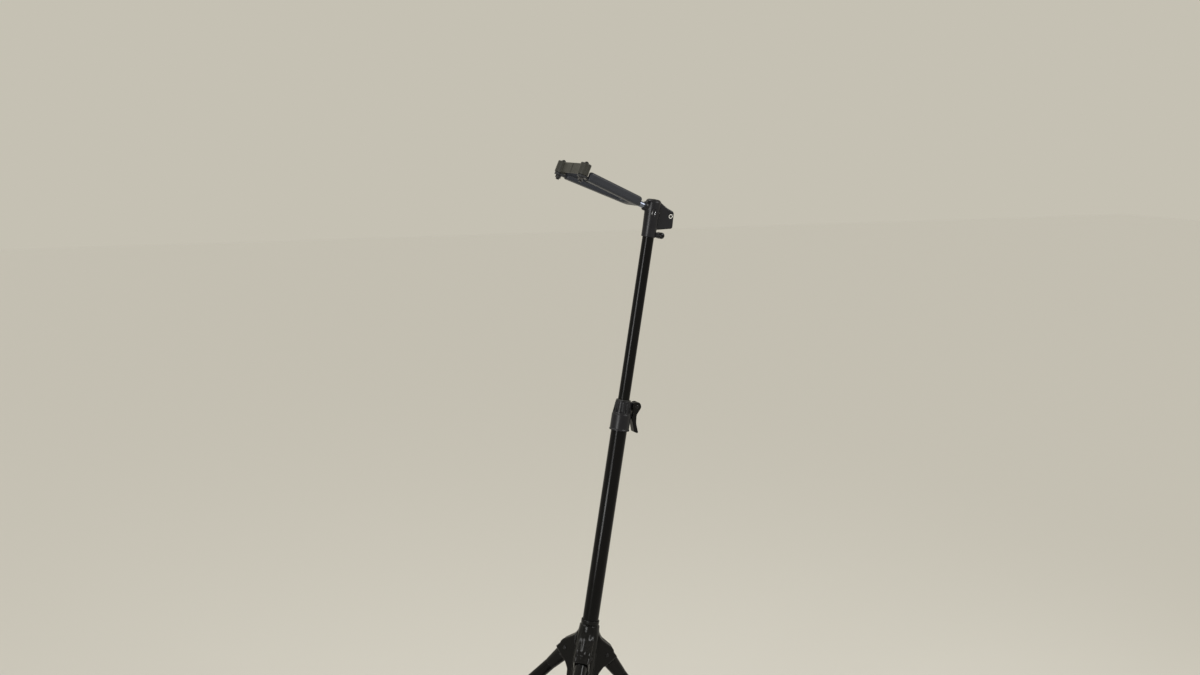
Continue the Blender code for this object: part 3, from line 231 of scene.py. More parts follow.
def handling():
    """Group: soft patches where hands have polished a surface, and fine streaks of scuffing.

    Patches are slow noise. Scuffs are the thin middle line of a stretched noise, where
    |noise - 0.5| is near zero, and only where a third noise is high.
    """
    tree, given, out = group("handling", {"Patch Scale": 30.0, "Scuff Scale": 120.0}, ["Patches", "Scuffs"])
    place = node(tree, "TexCoord").outputs["Object"]
    stretch = {"Vector": place, "Rotation": (0.4, 0.9, 0.3), "Scale": (1.0, 6.0, 0.6)}
    stretched = node(tree, "Mapping", stretch).outputs["Vector"]
    streaks = noise(tree, given["Scuff Scale"], 2.0, stretched)
    off_middle = maths(tree, "ABSOLUTE", maths(tree, "SUBTRACT", streaks, 0.5))
    some = remap(tree, noise(tree, 55.0, 1.0), 0.56, 0.70)
    patches = remap(tree, noise(tree, given["Patch Scale"], 3.0), 0.35, 0.68)
    scuffs = maths(tree, "MULTIPLY", remap(tree, off_middle, 0.012, 0.0), some)
    tree.links.new(patches, out["Patches"])
    tree.links.new(scuffs, out["Scuffs"])
    return tree


def settled_dust():
    """Group: dust on faces that look up. Share = (up part of the normal) x noise x amount."""
    tree, given, out = group("settled_dust", {"Amount": 0.3, "Scale": 300.0}, ["Dust"])
    normal = node(tree, "NewGeometry").outputs["Normal"]
    up = node(tree, "SeparateXYZ", {"Vector": normal}).outputs["Z"]
    broken = remap(tree, noise(tree, given["Scale"], 4.0, Roughness=0.7), 0.42, 0.72)
    part = maths(tree, "MULTIPLY", remap(tree, up, 0.1, 1.0), broken)
    tree.links.new(maths(tree, "MULTIPLY", part, given["Amount"]), out["Dust"])
    return tree


def edge_rub():
    """Group: rubbing on outward edges. Share = (how sharply the surface turns) x noise."""
    tree, given, out = group("edge_rub", {"Start": 0.56, "Full": 0.68}, ["Rub"])
    turn = node(tree, "NewGeometry").outputs["Pointiness"]
    sharp = remap(tree, turn, given["Start"], given["Full"])
    patchy = remap(tree, noise(tree, 240.0, 3.0), 0.4, 0.6)
    tree.links.new(maths(tree, "MULTIPLY", sharp, patchy), out["Rub"])
    return tree


HANDLING, DUST, RUB = handling(), settled_dust(), edge_rub()
DUST_COLOUR = (0.30, 0.29, 0.27)


def use(tree, shared, **values):
    """The outputs of a shared group, placed in a material with its own values."""
    made = tree.nodes.new("ShaderNodeGroup")
    made.node_tree = shared
    for label, value in values.items():
        made.inputs[label].default_value = value
    return made.outputs


def finish(name, colour, rough, worn_colour, rough_swing=0.10, metal=0.0, grain=900.0, grain_depth=0.02,
           dust=0.25, scuff=0.25, ior=1.5):
    """A solid finish: base colour with handling, rubbed edges and dust, and a grained surface.

    Roughness = rough + swing x patches + half of the dust. Colour goes to the worn one on rubbed
    edges and scuffs, and to dust on top. Grain is a fine noise in a Bump node, its depth in mm.
    """
    material = bpy.data.materials.new(name)
    material.use_nodes = True
    tree = material.node_tree
    shader = tree.nodes["Principled BSDF"].inputs
    shader["Metallic"].default_value = metal
    shader["IOR"].default_value = ior
    hands = use(tree, HANDLING)
    fall = use(tree, DUST, Amount=dust)["Dust"]
    rubbed = use(tree, RUB)["Rub"]
    worn = maths(tree, "MAXIMUM", rubbed, remap(tree, hands["Scuffs"], 0.0, 1.0, 0.0, scuff))
    clean = tinted(tree, worn, colour, worn_colour)
    tree.links.new(tinted(tree, fall, clean, DUST_COLOUR), shader["Base Color"])
    polished = remap(tree, hands["Patches"], 0.0, 1.0, rough - rough_swing / 2, rough + rough_swing / 2)
    tree.links.new(maths(tree, "MULTIPLY_ADD", fall, 0.5, polished), shader["Roughness"])
    fine = noise(tree, grain, 2.0, Roughness=0.6)
    height = maths(tree, "MULTIPLY_ADD", hands["Scuffs"], -0.4, fine)
    bump = node(tree, "Bump", {"Height": height, "Strength": 0.5, "Distance": grain_depth / 1000})
    tree.links.new(bump.outputs["Normal"], shader["Normal"])
    return material


def dress(obj, material, slot, body, *nodes):
    """Finish a piece: its material, the body it rides on and the nodes it stands for. The slot is not used.
    """
    obj.data.materials.clear()
    obj.data.materials.append(material)
    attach(obj, body)
    if nodes:
        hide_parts(*nodes)
    return obj


gloss_black = finish("gloss_black_coat", (0.0035, 0.0034, 0.0036), 0.16, (0.030, 0.030, 0.031),
                     rough_swing=0.06, grain=700.0, grain_depth=0.004, dust=0.02, scuff=0.18, ior=1.21)
mast_up = np.array(joints["mast_turn"]["axis"])
CLUTCH_RISE = 0.302
mast = seat(np.array(joints["mast_turn"]["pos_m"]) - CLUTCH_RISE * mast_up, mast_up)
LOWER_R, TUBE_WALL, LOWER_FOOT, LOWER_TOP = 0.0125, 0.0012, -0.318, 0.326
lower_wall = tube_profile(LOWER_R, LOWER_R - TUBE_WALL, LOWER_FOOT, LOWER_TOP)
lower = lathe("mast_lower", lower_wall, mast, ring=True)
dress(lower, gloss_black, "gloss_tube", "base", "lower_tube")


# Plug in the foot of the lower tube: a black moulding with a flange, pressed into the open end
# of the tube.

gloss_moulding = finish("gloss_moulding", (0.0045, 0.0044, 0.0045), 0.19, (0.035, 0.035, 0.036), grain=700.0,
                        grain_depth=0.008, dust=0.03, ior=1.24)
PLUG_R, PLUG_TOP, FLANGE_TOP, FLANGE_FOOT = 0.0110, -0.3095, -0.3183, -0.3210
plug = lathe("mast_plug", rounded([
    (0, PLUG_TOP, 0), (PLUG_R, PLUG_TOP, 0.001), (PLUG_R, FLANGE_TOP, 0), (LOWER_R, FLANGE_TOP, 0),
    (LOWER_R, FLANGE_FOOT, 0.0012), (0, FLANGE_FOOT, 0)]), mast)
dress(plug, gloss_moulding, "gloss_moulding", "base", "tube_end_plug")


# Leg hub: one glossy moulding pushed over the lower tube, with a ring and a flared collar at the
# top and three hooded wings below. Each wing has a rounded nose, and is hollow for its leg.

def outline_field(outline, step=0.0004, margin=0.012):
    """Signed distance to a closed outline, below zero inside, as a function of arrays u and v.

    The distance to the nearest edge is tabled once on a fine grid. A point is inside when a ray
    from it crosses the outline an odd number of times. Values are read back with bilinear weights.
    """
    start = np.asarray(outline, float)
    end = np.roll(start, -1, axis=0)
    low, high = start.min(0) - margin, start.max(0) + margin
    us, vs = np.arange(low[0], high[0], step), np.arange(low[1], high[1], step)
    spot = np.stack(np.meshgrid(us, vs, indexing="ij"), -1)[..., None, :]
    edge = end - start
    along = np.clip(((spot - start) * edge).sum(-1) / np.maximum((edge * edge).sum(-1), 1e-18), 0, 1)
    distance = np.sqrt(((spot - start - along[..., None] * edge) ** 2).sum(-1)).min(-1)
    above = (start[:, 1] > spot[..., 1]) != (end[:, 1] > spot[..., 1])
    rise = np.where(edge[:, 1] == 0, 1.0, edge[:, 1])
    left = spot[..., 0] < start[:, 0] + edge[:, 0] * (spot[..., 1] - start[:, 1]) / rise
    table = np.where((above & left).sum(-1) % 2 == 1, -distance, distance)

    def read(u, v):
        s = np.clip((u - low[0]) / step, 0, len(us) - 1.001)
        t = np.clip((v - low[1]) / step, 0, len(vs) - 1.001)
        i, j = s.astype(int), t.astype(int)
        a, b = s - i, t - j
        value = (table[i, j] * (1 - a) * (1 - b) + table[i + 1, j] * a * (1 - b)
                 + table[i, j + 1] * (1 - a) * b + table[i + 1, j + 1] * a * b)
        over = np.hypot(u - (low[0] + s * step), v - (low[1] + t * step))
        return value + over

    return read


def slab(flat, across, half, radius):
    """Distance to an outline's plate: flat is its distance in the plane, across the height over it."""
    side, face = flat + radius, np.abs(across) - half + radius
    outside = np.hypot(np.maximum(side, 0), np.maximum(face, 0))
    return np.minimum(np.maximum(side, face), 0) + outside - radius


def grown(one, other, fillet):
    """Two solids joined with a fillet: the smooth least of their distances."""
    share = np.clip(0.5 + 0.5 * (other - one) / fillet, 0, 1)
    return other * (1 - share) + one * share - fillet * share * (1 - share)


def carved(solid, hollow, fillet):
    """A solid less a hollow, with its edge softened: the smooth greatest of solid and -hollow."""
    return -grown(-solid, hollow, fillet)


def grid_points(low, high, step):
    """Three open arrays of X, Y and Z through a box."""
    axes = [np.arange(a, b + step, step) for a, b in zip(low, high)]
    return axes[0][:, None, None], axes[1][None, :, None], axes[2][None, None, :]


def moulded(name, field, low, step, place):
    """The closed surface where a distance field is zero.

    Each grid cell that the surface passes gets one point, at the mean of the zeros on its edges,
    and each grid edge that changes sign gets one quad between the four cells round it.
    """
    field = np.asarray(field, np.float32)
    shape = tuple(n - 1 for n in field.shape)
    total, count = np.zeros(shape + (3,), np.float32), np.zeros(shape, np.int16)
    crossings = []
    for axis in range(3):
        one = np.take(field, range(field.shape[axis] - 1), axis)
        two = np.take(field, range(1, field.shape[axis]), axis)
        change = (one < 0) != (two < 0)
        part = np.where(change, one / np.where(change, one - two, 1), 0)
        crossings.append((change, one < 0))
        u, v = (axis + 1) % 3, (axis + 2) % 3
        for du in (0, 1):
            for dv in (0, 1):
                pick = [slice(None)] * 3
                pick[u], pick[v] = slice(du, du + shape[u]), slice(dv, dv + shape[v])
                here = change[tuple(pick)]
                total[..., axis] += part[tuple(pick)]
                total[..., u] += here * du
                total[..., v] += here * dv
                count += here
    used = count > 0
    index = np.full(shape, -1, np.int64)
    index[used] = np.arange(used.sum())
    cells = np.stack(np.nonzero(used), -1)
    points = np.array(low) + step * (cells + total[used] / count[used][:, None])
    quads = []
    for axis, (change, inside) in enumerate(crossings):
        u, v = (axis + 1) % 3, (axis + 2) % 3
        inner = [slice(None)] * 3
        inner[u], inner[v] = slice(1, -1), slice(1, -1)
        spot = np.stack(np.nonzero(change[tuple(inner)]), -1)
        spot[:, u] += 1
        spot[:, v] += 1
        corners = []
        for du, dv in ((-1, -1), (0, -1), (0, 0), (-1, 0)):
            cell = spot.copy()
            cell[:, u] += du
            cell[:, v] += dv
            corners.append(index[cell[:, 0], cell[:, 1], cell[:, 2]])
        quad = np.stack(corners, -1)
        outward = inside[spot[:, 0], spot[:, 1], spot[:, 2]]
        quads.append(np.where(outward[:, None], quad, quad[:, ::-1]))
    return put(name, points, np.concatenate(quads), place=place)


def arc(radius, start, end, count):
    """Points (r cos a, r sin a) at even angles a from start to end."""
    a = np.linspace(start, end, count)
    return radius * np.stack([np.cos(a), np.sin(a)], -1)


def turned(x, y, heading):
    """Coordinates (across, out) of the points x, y, with out being Y turned by a heading."""
    return x * math.cos(heading) + y * math.sin(heading), y * math.cos(heading) - x * math.sin(heading)


GAP = 0.0003
PIVOT_R, PIVOT_DROP, LEG_R = 0.0318, 0.0538, 0.0095
LEG_ANGLES = {"rear": math.radians(45), "left": math.radians(49), "right": math.radians(49)}
LEG_HEADINGS = {"rear": 0.0, "left": math.radians(120), "right": math.radians(-120)}
RIM = 0.0168
SOCKET_START, SOCKET_TALL, SOCKET_END = 0.0173, 0.0124, 0.0470
WING_HALF, WING_EDGE, WING_TOP, WING_RUN = 0.01275, 0.0042, -0.0085, 0.0385
ROOF_SLOPE, CROWN, NOSE_R, NOSE_TAPER = 0.0038, 0.0012, 0.0160, 0.0134
WING_FILLET, HUB_STEP = 0.0016, 0.00075


def wing_side():
    """Side view (out, up) of a wing: swept roof, shoulder, rim square to the leg, and skirt."""
    slope = LEG_ANGLES["rear"]
    line, over = np.array([math.cos(slope), -math.sin(slope)]), np.array([math.sin(slope), math.cos(slope)])
    pivot = np.array([PIVOT_R, -PIVOT_DROP])
    roof_end = pivot - line * 0.0029 + over * (LEG_R + 0.0071)
    shoulder = pivot + line * 0.0037 + over * (LEG_R + 0.0059)
    hollow = pivot + line * 0.0066 + over * (LEG_R + 0.0039)
    rim_top = pivot + line * RIM + over * (LEG_R + 0.0028)
    rim_foot = pivot + line * RIM - over * (LEG_R + 0.0014)
    crotch = pivot + line * (RIM - 0.0023) - over * (LEG_R + 0.0062)
    return rounded([
        (0.010, -0.0071, 0), (0.0153, WING_TOP, 0), (0.0162, -0.0170, 0.014), (0.0225, -0.0270, 0.016),
        (*roof_end, 0.012), (*shoulder, 0.004), (*hollow, 0.003), (*rim_top, 0.0012), (*rim_foot, 0.0012),
        (*crotch, 0.004), (0.0243, -0.0856, 0.010), (0.0235, -0.1040, 0.010), (0.0165, -0.1172, 0),
        (0.010, -0.1172, 0)])


def leg_room(angle):
    """Side view of the space that a leg sweeps, about its pivot, from hanging down to open."""
    radius, socket_top, socket_side = LEG_R + GAP, -SOCKET_START + 2 * GAP, -SOCKET_TALL - GAP
    out = np.array([math.cos(angle), -math.sin(angle)]) * 0.12
    side = np.array([math.sin(angle), math.cos(angle)]) * radius
    foot = [[-radius, socket_top], [socket_side, socket_top], [socket_side, -0.12], [0.06, -0.15]]
    return np.concatenate([arc(radius, math.pi / 2 - angle, math.pi, 24), foot, [out, out + side]])


hub_low, hub_high = (-0.058, -0.052, -0.122), (0.058, 0.064, 0.004)
x, y, z = grid_points(hub_low, hub_high, HUB_STEP)
radial = np.hypot(x, y)
core = outline_field(rounded([
    (-0.01, 0, 0), (0.0143, 0, 0.0010), (0.0143, -0.0064, 0.0006), (0.0134, -0.0068, 0.0003),
    (0.0134, -0.0078, 0.0003), (0.0151, -0.0088, 0.0008), (0.0157, -0.0150, 0.003), (0.0180, -0.0300, 0.006),
    (0.0180, -0.1140, 0.002), (0.0165, -0.1180, 0.001), (-0.01, -0.1180, 0)]))
hub = core(radial, z)
side_view = outline_field(wing_side())
for side, heading in LEG_HEADINGS.items():
    across, out = turned(x, y, heading)
    flat = side_view(out, z)
    depth = (WING_TOP - z) / WING_RUN
    fall = np.clip(0.0046 - ROOF_SLOPE * depth, 0, 0.0046)
    wing = slab(flat + fall + CROWN * (across / WING_HALF) ** 2, across, WING_HALF, WING_EDGE)
    nose_r = NOSE_R - NOSE_TAPER * np.clip(depth, 0, 1)
    nose = np.maximum(np.hypot(across, flat + nose_r) - nose_r, np.maximum(-0.052 - z, z + 0.0090))
    hub = grown(hub, grown(wing, nose, WING_FILLET), WING_FILLET)
for side, heading in LEG_HEADINGS.items():
    across, out = turned(x, y, heading)
    room = outline_field(leg_room(LEG_ANGLES[side]))(out - PIVOT_R, z + PIVOT_DROP)
    hub = carved(hub, slab(room, across, LEG_R + GAP, 0.0004), 0.0008)
hub = carved(hub, radial - (LOWER_R + GAP), 0.0006)
hub_piece = moulded("hub_moulding", hub, hub_low, HUB_STEP, mast)
dress(hub_piece, gloss_moulding, "gloss_moulding", "base", "leg_hub")


# Legs: each is a black steel tube in the oval socket of a moulded knuckle, whose ball swings on a
# rivet through its wing. A ribbed rubber foot, cut level with the floor, is pushed on its end.

satin_moulding = finish("satin_moulding", (0.0076, 0.0076, 0.0102), 0.34, (0.060, 0.060, 0.062), grain=1400.0,
                        grain_depth=0.05, dust=0.05, ior=1.33)
foot_rubber = finish("foot_rubber", (0.013, 0.013, 0.013), 0.66, (0.06, 0.058, 0.055), rough_swing=0.16,
                     grain=800.0, grain_depth=0.10, dust=0.45, scuff=0.6)
dark_steel = finish("dark_steel", (0.030, 0.030, 0.032), 0.30, (0.20, 0.20, 0.21), rough_swing=0.14,
                    metal=1.0, grain=1200.0, grain_depth=0.03, dust=0.04)


def dome(radius, rise, foot):
    """Profile (r, along) of a domed head from its pole: (radius sin a, foot + rise cos a)."""
    return arc(1, math.pi / 2, 0, 12) * (radius, rise) + (0, foot)


def domed_pin(half, head_r, head_rise, shank_r):
    """Profile (r, along) of a rivet with two domed heads."""
    top = dome(head_r, head_rise, half)
    return np.concatenate([top, [[shank_r, half], [shank_r, -half]], top[::-1] * (1, -1)])


SOCKET_STEP = 0.0005
socket_low, socket_high = (-0.0110, -0.0140, -0.0490), (0.0110, 0.0140, 0.0105)
x, y, z = grid_points(socket_low, socket_high, SOCKET_STEP)
ball = np.hypot(np.hypot(x, y), np.maximum(z, 0)) - (LEG_R - GAP)
ball = np.maximum(ball, -SOCKET_START - 0.001 - z)
taper = np.clip((SOCKET_END + z) / (SOCKET_END - SOCKET_START), 0, 1)
wide, tall = LEG_R + 0.0001, LEG_R + 0.0004 + (SOCKET_TALL - LEG_R - 0.0004) * taper
oval = (np.hypot(x / wide, y / tall) - 1) * wide
socket = np.maximum(oval, np.abs(z + (SOCKET_START + SOCKET_END) / 2) - (SOCKET_END - SOCKET_START) / 2)
socket = grown(ball, socket, 0.0003)
BOOT_R, BOOT_TOP, BOOT_FOOT, RIB_PITCH = 0.0130, 0.0520, -0.0090, 0.0032
RIB = ((0.0004, 0.0004, 0.0005), (0.0004, 0.0022, 0.0005), (0.0014, 0.0026, 0.0004),
       (0.0014, 0.0032, 0.0004))
for side, angle in LEG_ANGLES.items():
    fold = joints["leg_fold_" + side]
    pivot, axis = np.array(fold["pos_m"]), np.array(fold["axis"])
    heading = LEG_HEADINGS[side]
    level = math.cos(angle)
    down = mast[:3, :3] @ (-math.sin(heading) * level, math.cos(heading) * level, -math.sin(angle))
    leg = seat(pivot, -down, -axis)
    reach = pivot[2] / -down[2]
    knuckle = moulded("knuckle_" + side, socket, socket_low, SOCKET_STEP, leg)
    dress(knuckle, gloss_moulding, "satin_moulding", "leg_" + side, "leg_knuckle_" + side)
    leg_wall = tube_profile(LEG_R, LEG_R - TUBE_WALL, -reach + 0.0215, 0.0005 - SOCKET_END)
    shin = lathe("leg_" + side, leg_wall, leg, around=80, ring=True)
    dress(shin, gloss_black, "gloss_tube", "leg_" + side, "leg_tube_" + side)
    pin_seat = seat(pivot, mast_up, -axis)
    pin = lathe("rivet_" + side, domed_pin(0.01305, 0.0030, 0.0014, 0.0023), pin_seat, around=40, turn="X")
    dress(pin, dark_steel, "dark_steel", "base", "leg_pin_" + side)
    ribs = [(BOOT_R - cut, BOOT_TOP - RIB_PITCH * row - drop, edge)
            for row in range(4) for cut, drop, edge in RIB]
    boot_side = rounded([
        (0, 0.0212, 0), (LEG_R + GAP, 0.0212, 0), (LEG_R + GAP, BOOT_TOP, 0), *ribs, (BOOT_R, 0.030, 0.02),
        (BOOT_R + 0.0006, -0.0020, 0.004), (BOOT_R - 0.002, -0.0070, 0.003),
        (BOOT_R - 0.006, BOOT_FOOT, 0.002), (0, BOOT_FOOT, 0)])
    boot = lathe("foot_" + side, boot_side - (0, reach), leg)
    cut_level = np.zeros(len(boot.data.vertices) * 3, np.float32)
    boot.data.vertices.foreach_get("co", cut_level)
    cut_level[2::3] = np.maximum(cut_level[2::3], 0)
    boot.data.vertices.foreach_set("co", cut_level)
    dress(boot, foot_rubber, "rubber", "leg_" + side, "leg_foot_" + side)


# Cradle block: a glossy moulding clamped round the foot of the mast by a zinc cross bolt, with
# two slots at the front in which the arms' eyes turn on short pins.

def moved(place, x, y, z):
    """The frame at the point (x, y, z) of another frame, turned as that one is."""
    shifted = place.copy()
    shifted[:3, 3] = (place @ np.array([x, y, z, 1]))[:3]
    return shifted


def recoat(name, material):
    """A finish of this file on a piece that keeps the shape of its solid."""
    solid = frame["nodes"][name]
    solid.data.materials.clear()
    solid.data.materials.append(material)


BLOCK_STEP = 0.0007
CRADLE_DROP, ARM_REACH_AT, ARM_SPREAD_AT, EYE_R, EYE_HALF = 0.297, 0.040, 0.020, 0.007, 0.0042
block_seat = moved(mast, 0, 0, -CRADLE_DROP)
half = ARM_SPREAD_AT + EYE_HALF + 0.0051
collar = LOWER_R + 0.0043
right = [(collar, collar, 0.0145), (0.0160, -0.0249, 0.004), (half - 0.004, -0.0309, 0.0012),
         (half, -0.0349, 0.0012), (half, -0.0510, 0.003)]
block_plan = rounded(right + [(-px, py, r) for px, py, r in reversed(right)])
block_low, block_high = (-0.034, -0.056, -0.017), (0.034, 0.022, 0.021)
x, y, z = grid_points(block_low, block_high, BLOCK_STEP)
block = slab(outline_field(block_plan)(x, y), z - 0.002, 0.014, 0.0020)
eye_room = EYE_R + GAP
eye_side = [[-0.05, -eye_room], [-0.05, 0.05], [eye_room, 0.05]]
eye_side = np.concatenate([arc(eye_room, 0, -math.pi / 2, 16), eye_side])
eye_flat = outline_field(eye_side)(y + ARM_REACH_AT, z)
for sign in (-1, 1):
    block = carved(block, slab(eye_flat, x - sign * ARM_SPREAD_AT, EYE_HALF + GAP, 0.0004), 0.0008)
block = carved(block, np.hypot(x, y) - (LOWER_R + GAP), 0.0006)
block_piece = moulded("cradle_moulding", block, block_low, BLOCK_STEP, block_seat)
dress(block_piece, gloss_moulding, "gloss_moulding", "base", "cradle_block")

zinc = finish("bright_zinc", (0.52, 0.53, 0.55), 0.26, (0.70, 0.70, 0.70), rough_swing=0.14, metal=1.0,
              grain_depth=0.03, dust=0.08)
BOLT_SEAT, BOLT_HEAD_R, BOLT_R, BOLT_END = 0.0171, 0.0042, 0.00225, -0.0223
bolt = lathe("cross_bolt", rounded([
    (0, BOLT_SEAT + 0.0032, 0), (0.0034, BOLT_SEAT + 0.0029, 0.001),
    (BOLT_HEAD_R, BOLT_SEAT + 0.0012, 0.0006), (BOLT_HEAD_R, BOLT_SEAT, 0), (BOLT_R, BOLT_SEAT, 0),
    (BOLT_R, BOLT_END, 0.0004), (0, BOLT_END, 0)]), block_seat, around=48, turn="X")
dress(bolt, zinc, "zinc", "base", "cradle_bolt")
recoat("cradle_bolt_nut", zinc)


# Cradle arms: 8 mm steel rods with an eye at the root, bent outwards and then up at the tip. A
# thick rubber sleeve with a rounded end is pushed on where the load rests.

def carried(name, path, radii, place, lean, around=32):
    """A round section carried along a path: ring point = path + r (cos a side + sin a over).

    Side is square to the path and to lean, over is square to both. Both ends close on a point.
    """
    line = np.gradient(path, axis=0)
    line /= np.linalg.norm(line, axis=1, keepdims=True)
    side = np.cross(line, lean)
    side /= np.linalg.norm(side, axis=1, keepdims=True)
    over = np.cross(side, line)
    a = (np.arange(around) * 2 * math.pi / around)[None, :, None]
    spokes = np.cos(a) * side[:, None] + np.sin(a) * over[:, None]
    rings = path[:, None] + np.asarray(radii)[:, None, None] * spokes
    count = len(path)
    points = np.concatenate([rings.reshape(-1, 3), path[:1], path[-1:]])
    row, column = np.arange(count - 1)[:, None] * around, np.arange(around)[None]
    after = (column + 1) % around
    corners = [row + column, row + around + column, row + around + after, row + after]
    quads = np.stack(corners, -1).reshape(-1, 4)
    here, onward = column[0], after[0]
    last = (count - 1) * around
    start_fan = np.stack([np.full(around, count * around), here, onward], -1)
    end_fan = np.stack([np.full(around, count * around + 1), last + onward, last + here], -1)
    return put(name, points, quads, start_fan, end_fan, place=place)


def thinned(path, start, spacing):
    """The path from a distance along it, with even points a spacing apart."""
    length = np.concatenate([[0], np.cumsum(np.linalg.norm(np.diff(path, axis=0), axis=1))])
    at = np.arange(start, length[-1], spacing)
    at = np.append(at, length[-1])
    return np.stack([np.interp(at, length, path[:, k]) for k in range(3)], -1)


ROD_R, SLEEVE_R, SLEEVE_START, PIN_HEAD_R, PIN_R = 0.004, 0.0085, 0.036, 0.0034, 0.0022
rod_black = finish("rod_black", (0.0060, 0.0060, 0.0063), 0.24, (0.12, 0.12, 0.125), rough_swing=0.10,
                   grain=420.0, grain_depth=0.05, dust=0.05, scuff=0.35, ior=1.4)
sleeve_rubber = finish("sleeve_rubber", (0.012, 0.012, 0.013), 0.58, (0.05, 0.05, 0.048), rough_swing=0.14,
                       grain=700.0, grain_depth=0.12, dust=0.12, scuff=0.30, ior=1.42)
for side, sign in (("left", -1), ("right", 1)):
    fold = joints["cradle_fold_" + side]
    arm = seat(fold["pos_m"], mast_up)
    path = rounded([(0, 0, 0, 0), (0, -0.024, 0, 0.017), (sign * 0.085, -0.183, 0, 0.017),
                    (sign * 0.088, -0.188, 0.038, 0)], math.radians(6))
    rod_path = thinned(path, 0.0045, 0.0025)
    lean = (sign * 0.9, 0.45, 0.1)
    rod = carried("cradle_rod_" + side, rod_path, np.full(len(rod_path), ROD_R), arm, lean)
    dress(rod, rod_black, "black_rod", "cradle_" + side, "cradle_arm_" + side)
    eye = lathe("cradle_eye_" + side, rounded([
        (EYE_R, EYE_HALF, 0.0008), (EYE_R, -EYE_HALF, 0.0008), (PIN_R + GAP, -EYE_HALF, 0.0003),
        (PIN_R + GAP, EYE_HALF, 0.0003)]), arm, around=64, ring=True, turn="X")
    dress(eye, rod_black, "black_rod", "cradle_" + side)
    sleeve_path = thinned(path, SLEEVE_START, 0.002)
    tip = np.linspace(0, 1, 14)[1:] * math.pi / 2 * 0.97
    line = path[-1] - path[-2]
    line = line / np.linalg.norm(line)
    round_end = path[-1] + line * SLEEVE_R * np.sin(tip)[:, None]
    shape = np.full(len(sleeve_path), SLEEVE_R)
    shape[:2] -= (0.0016, 0.0008)
    skin = carried("cradle_sleeve_" + side, np.concatenate([sleeve_path, round_end]),
                   np.concatenate([shape, SLEEVE_R * np.cos(tip)]), arm, lean, around=40)
    dress(skin, sleeve_rubber, "rubber", "cradle_" + side, "cradle_pad_" + side)
    outer, inner = EYE_HALF + 0.0048 + 2 * GAP, -(EYE_HALF + 0.0063)
    turn_in = arm if sign > 0 else seat(fold["pos_m"], mast_up, (-1, 0, 0))
    arm_pin = lathe("cradle_pivot_" + side, rounded([
        (0, outer + 0.0016, 0), (0.0026, outer + 0.0014, 0.001), (PIN_HEAD_R, outer, 0), (PIN_R, outer, 0),
        (PIN_R, inner, 0), (0, inner, 0)]), turn_in, around=40, turn="X")
    dress(arm_pin, zinc, "zinc", "base", "cradle_pin_" + side)


# Clutch: a satin moulding over the end of the lower tube, with a plain sleeve, a small lip and a
# fluted cone above. A cam lever at the back squeezes it on a thin nylon liner round the upper
# tube.

clutch = seat(joints["mast_turn"]["pos_m"], mast_up)
CLUTCH_H, SLEEVE_H, CLUTCH_STEP = 0.0465, 0.0255, 0.00045
FLUTES, FLUTE_HALF, FLUTE_ROOT = 12, 0.0015, 0.0117
FLUTE_LEDGE, FLUTE_MID, FLUTE_TALL = 0.0298, 0.0362, 0.0085
wall = outline_field(rounded([
    (0.0119, CLUTCH_H, 0.0007), (0.0144, SLEEVE_H + 0.0012, 0.0004), (0.0144, SLEEVE_H + 0.0002, 0.0002),
    (0.0150, SLEEVE_H - 0.0004, 0.0004), (0.0150, 0.0028, 0.0004), (0.0157, 0.0022, 0.0004),
    (0.0157, 0, 0.0006), (LOWER_R + GAP, 0, 0.0002), (LOWER_R + GAP, 0.0243, 0), (0.0105, 0.0243, 0),
    (0.0105, CLUTCH_H, 0.0003)]), step=0.0002)
clutch_low, clutch_high = (-0.018, -0.018, -0.002), (0.018, 0.030, 0.0495)
x, y, z = grid_points(clutch_low, clutch_high, CLUTCH_STEP)
radial, angle = np.hypot(x, y), np.arctan2(y, x) - math.pi / 2
body = wall(radial, z)
pitch = 2 * math.pi / FLUTES
number = np.round(angle / pitch)
offset = angle - number * pitch
aside, outward = radial * np.sin(offset), radial * np.cos(offset)
ramp = FLUTE_ROOT + np.maximum(FLUTE_LEDGE - z, 0)
flute = np.maximum(np.abs(aside) - FLUTE_HALF, ramp - outward)
flute = np.maximum(flute, np.abs(z - FLUTE_MID) - FLUTE_TALL)
body = carved(body, np.where(number % FLUTES == 0, 0.01, flute), 0.0005)
PIN_BACK, PIN_RISE = 0.0214, 0.0395
ear = outline_field(rounded([(0.0111, PIN_RISE - 0.0056, 0), (0.0270, PIN_RISE - 0.0056, 0.0055),
                             (0.0270, PIN_RISE + 0.0056, 0.0055), (0.0111, PIN_RISE + 0.0056, 0)]))
body = grown(body, slab(ear(y, z), x, 0.003, 0.0006), 0.0010)
body_piece = moulded("clutch_moulding", body, clutch_low, CLUTCH_STEP, clutch)
dress(body_piece, satin_moulding, "satin_moulding", "base", "clutch_body")

nylon = finish("dark_nylon", (0.022, 0.022, 0.023), 0.40, (0.07, 0.07, 0.07), grain=600.0, grain_depth=0.03,
               dust=0.06)
LINER_R, LINER_BORE, LINER_LIP_R, LINER_FOOT, LINER_TOP = 0.0102, 0.0093, 0.0113, 0.0088, CLUTCH_H + 0.0015
liner = lathe("clutch_bush", rounded([
    (LINER_LIP_R, LINER_TOP, 0.0004), (LINER_LIP_R, CLUTCH_H + GAP, 0), (LINER_R, CLUTCH_H + GAP, 0),
    (LINER_R, LINER_FOOT, 0.0003), (LINER_BORE, LINER_FOOT, 0.0003), (LINER_BORE, LINER_TOP, 0.0003)]),
    clutch, around=80, ring=True)
dress(liner, nylon, "nylon", "liner", "clutch_liner")

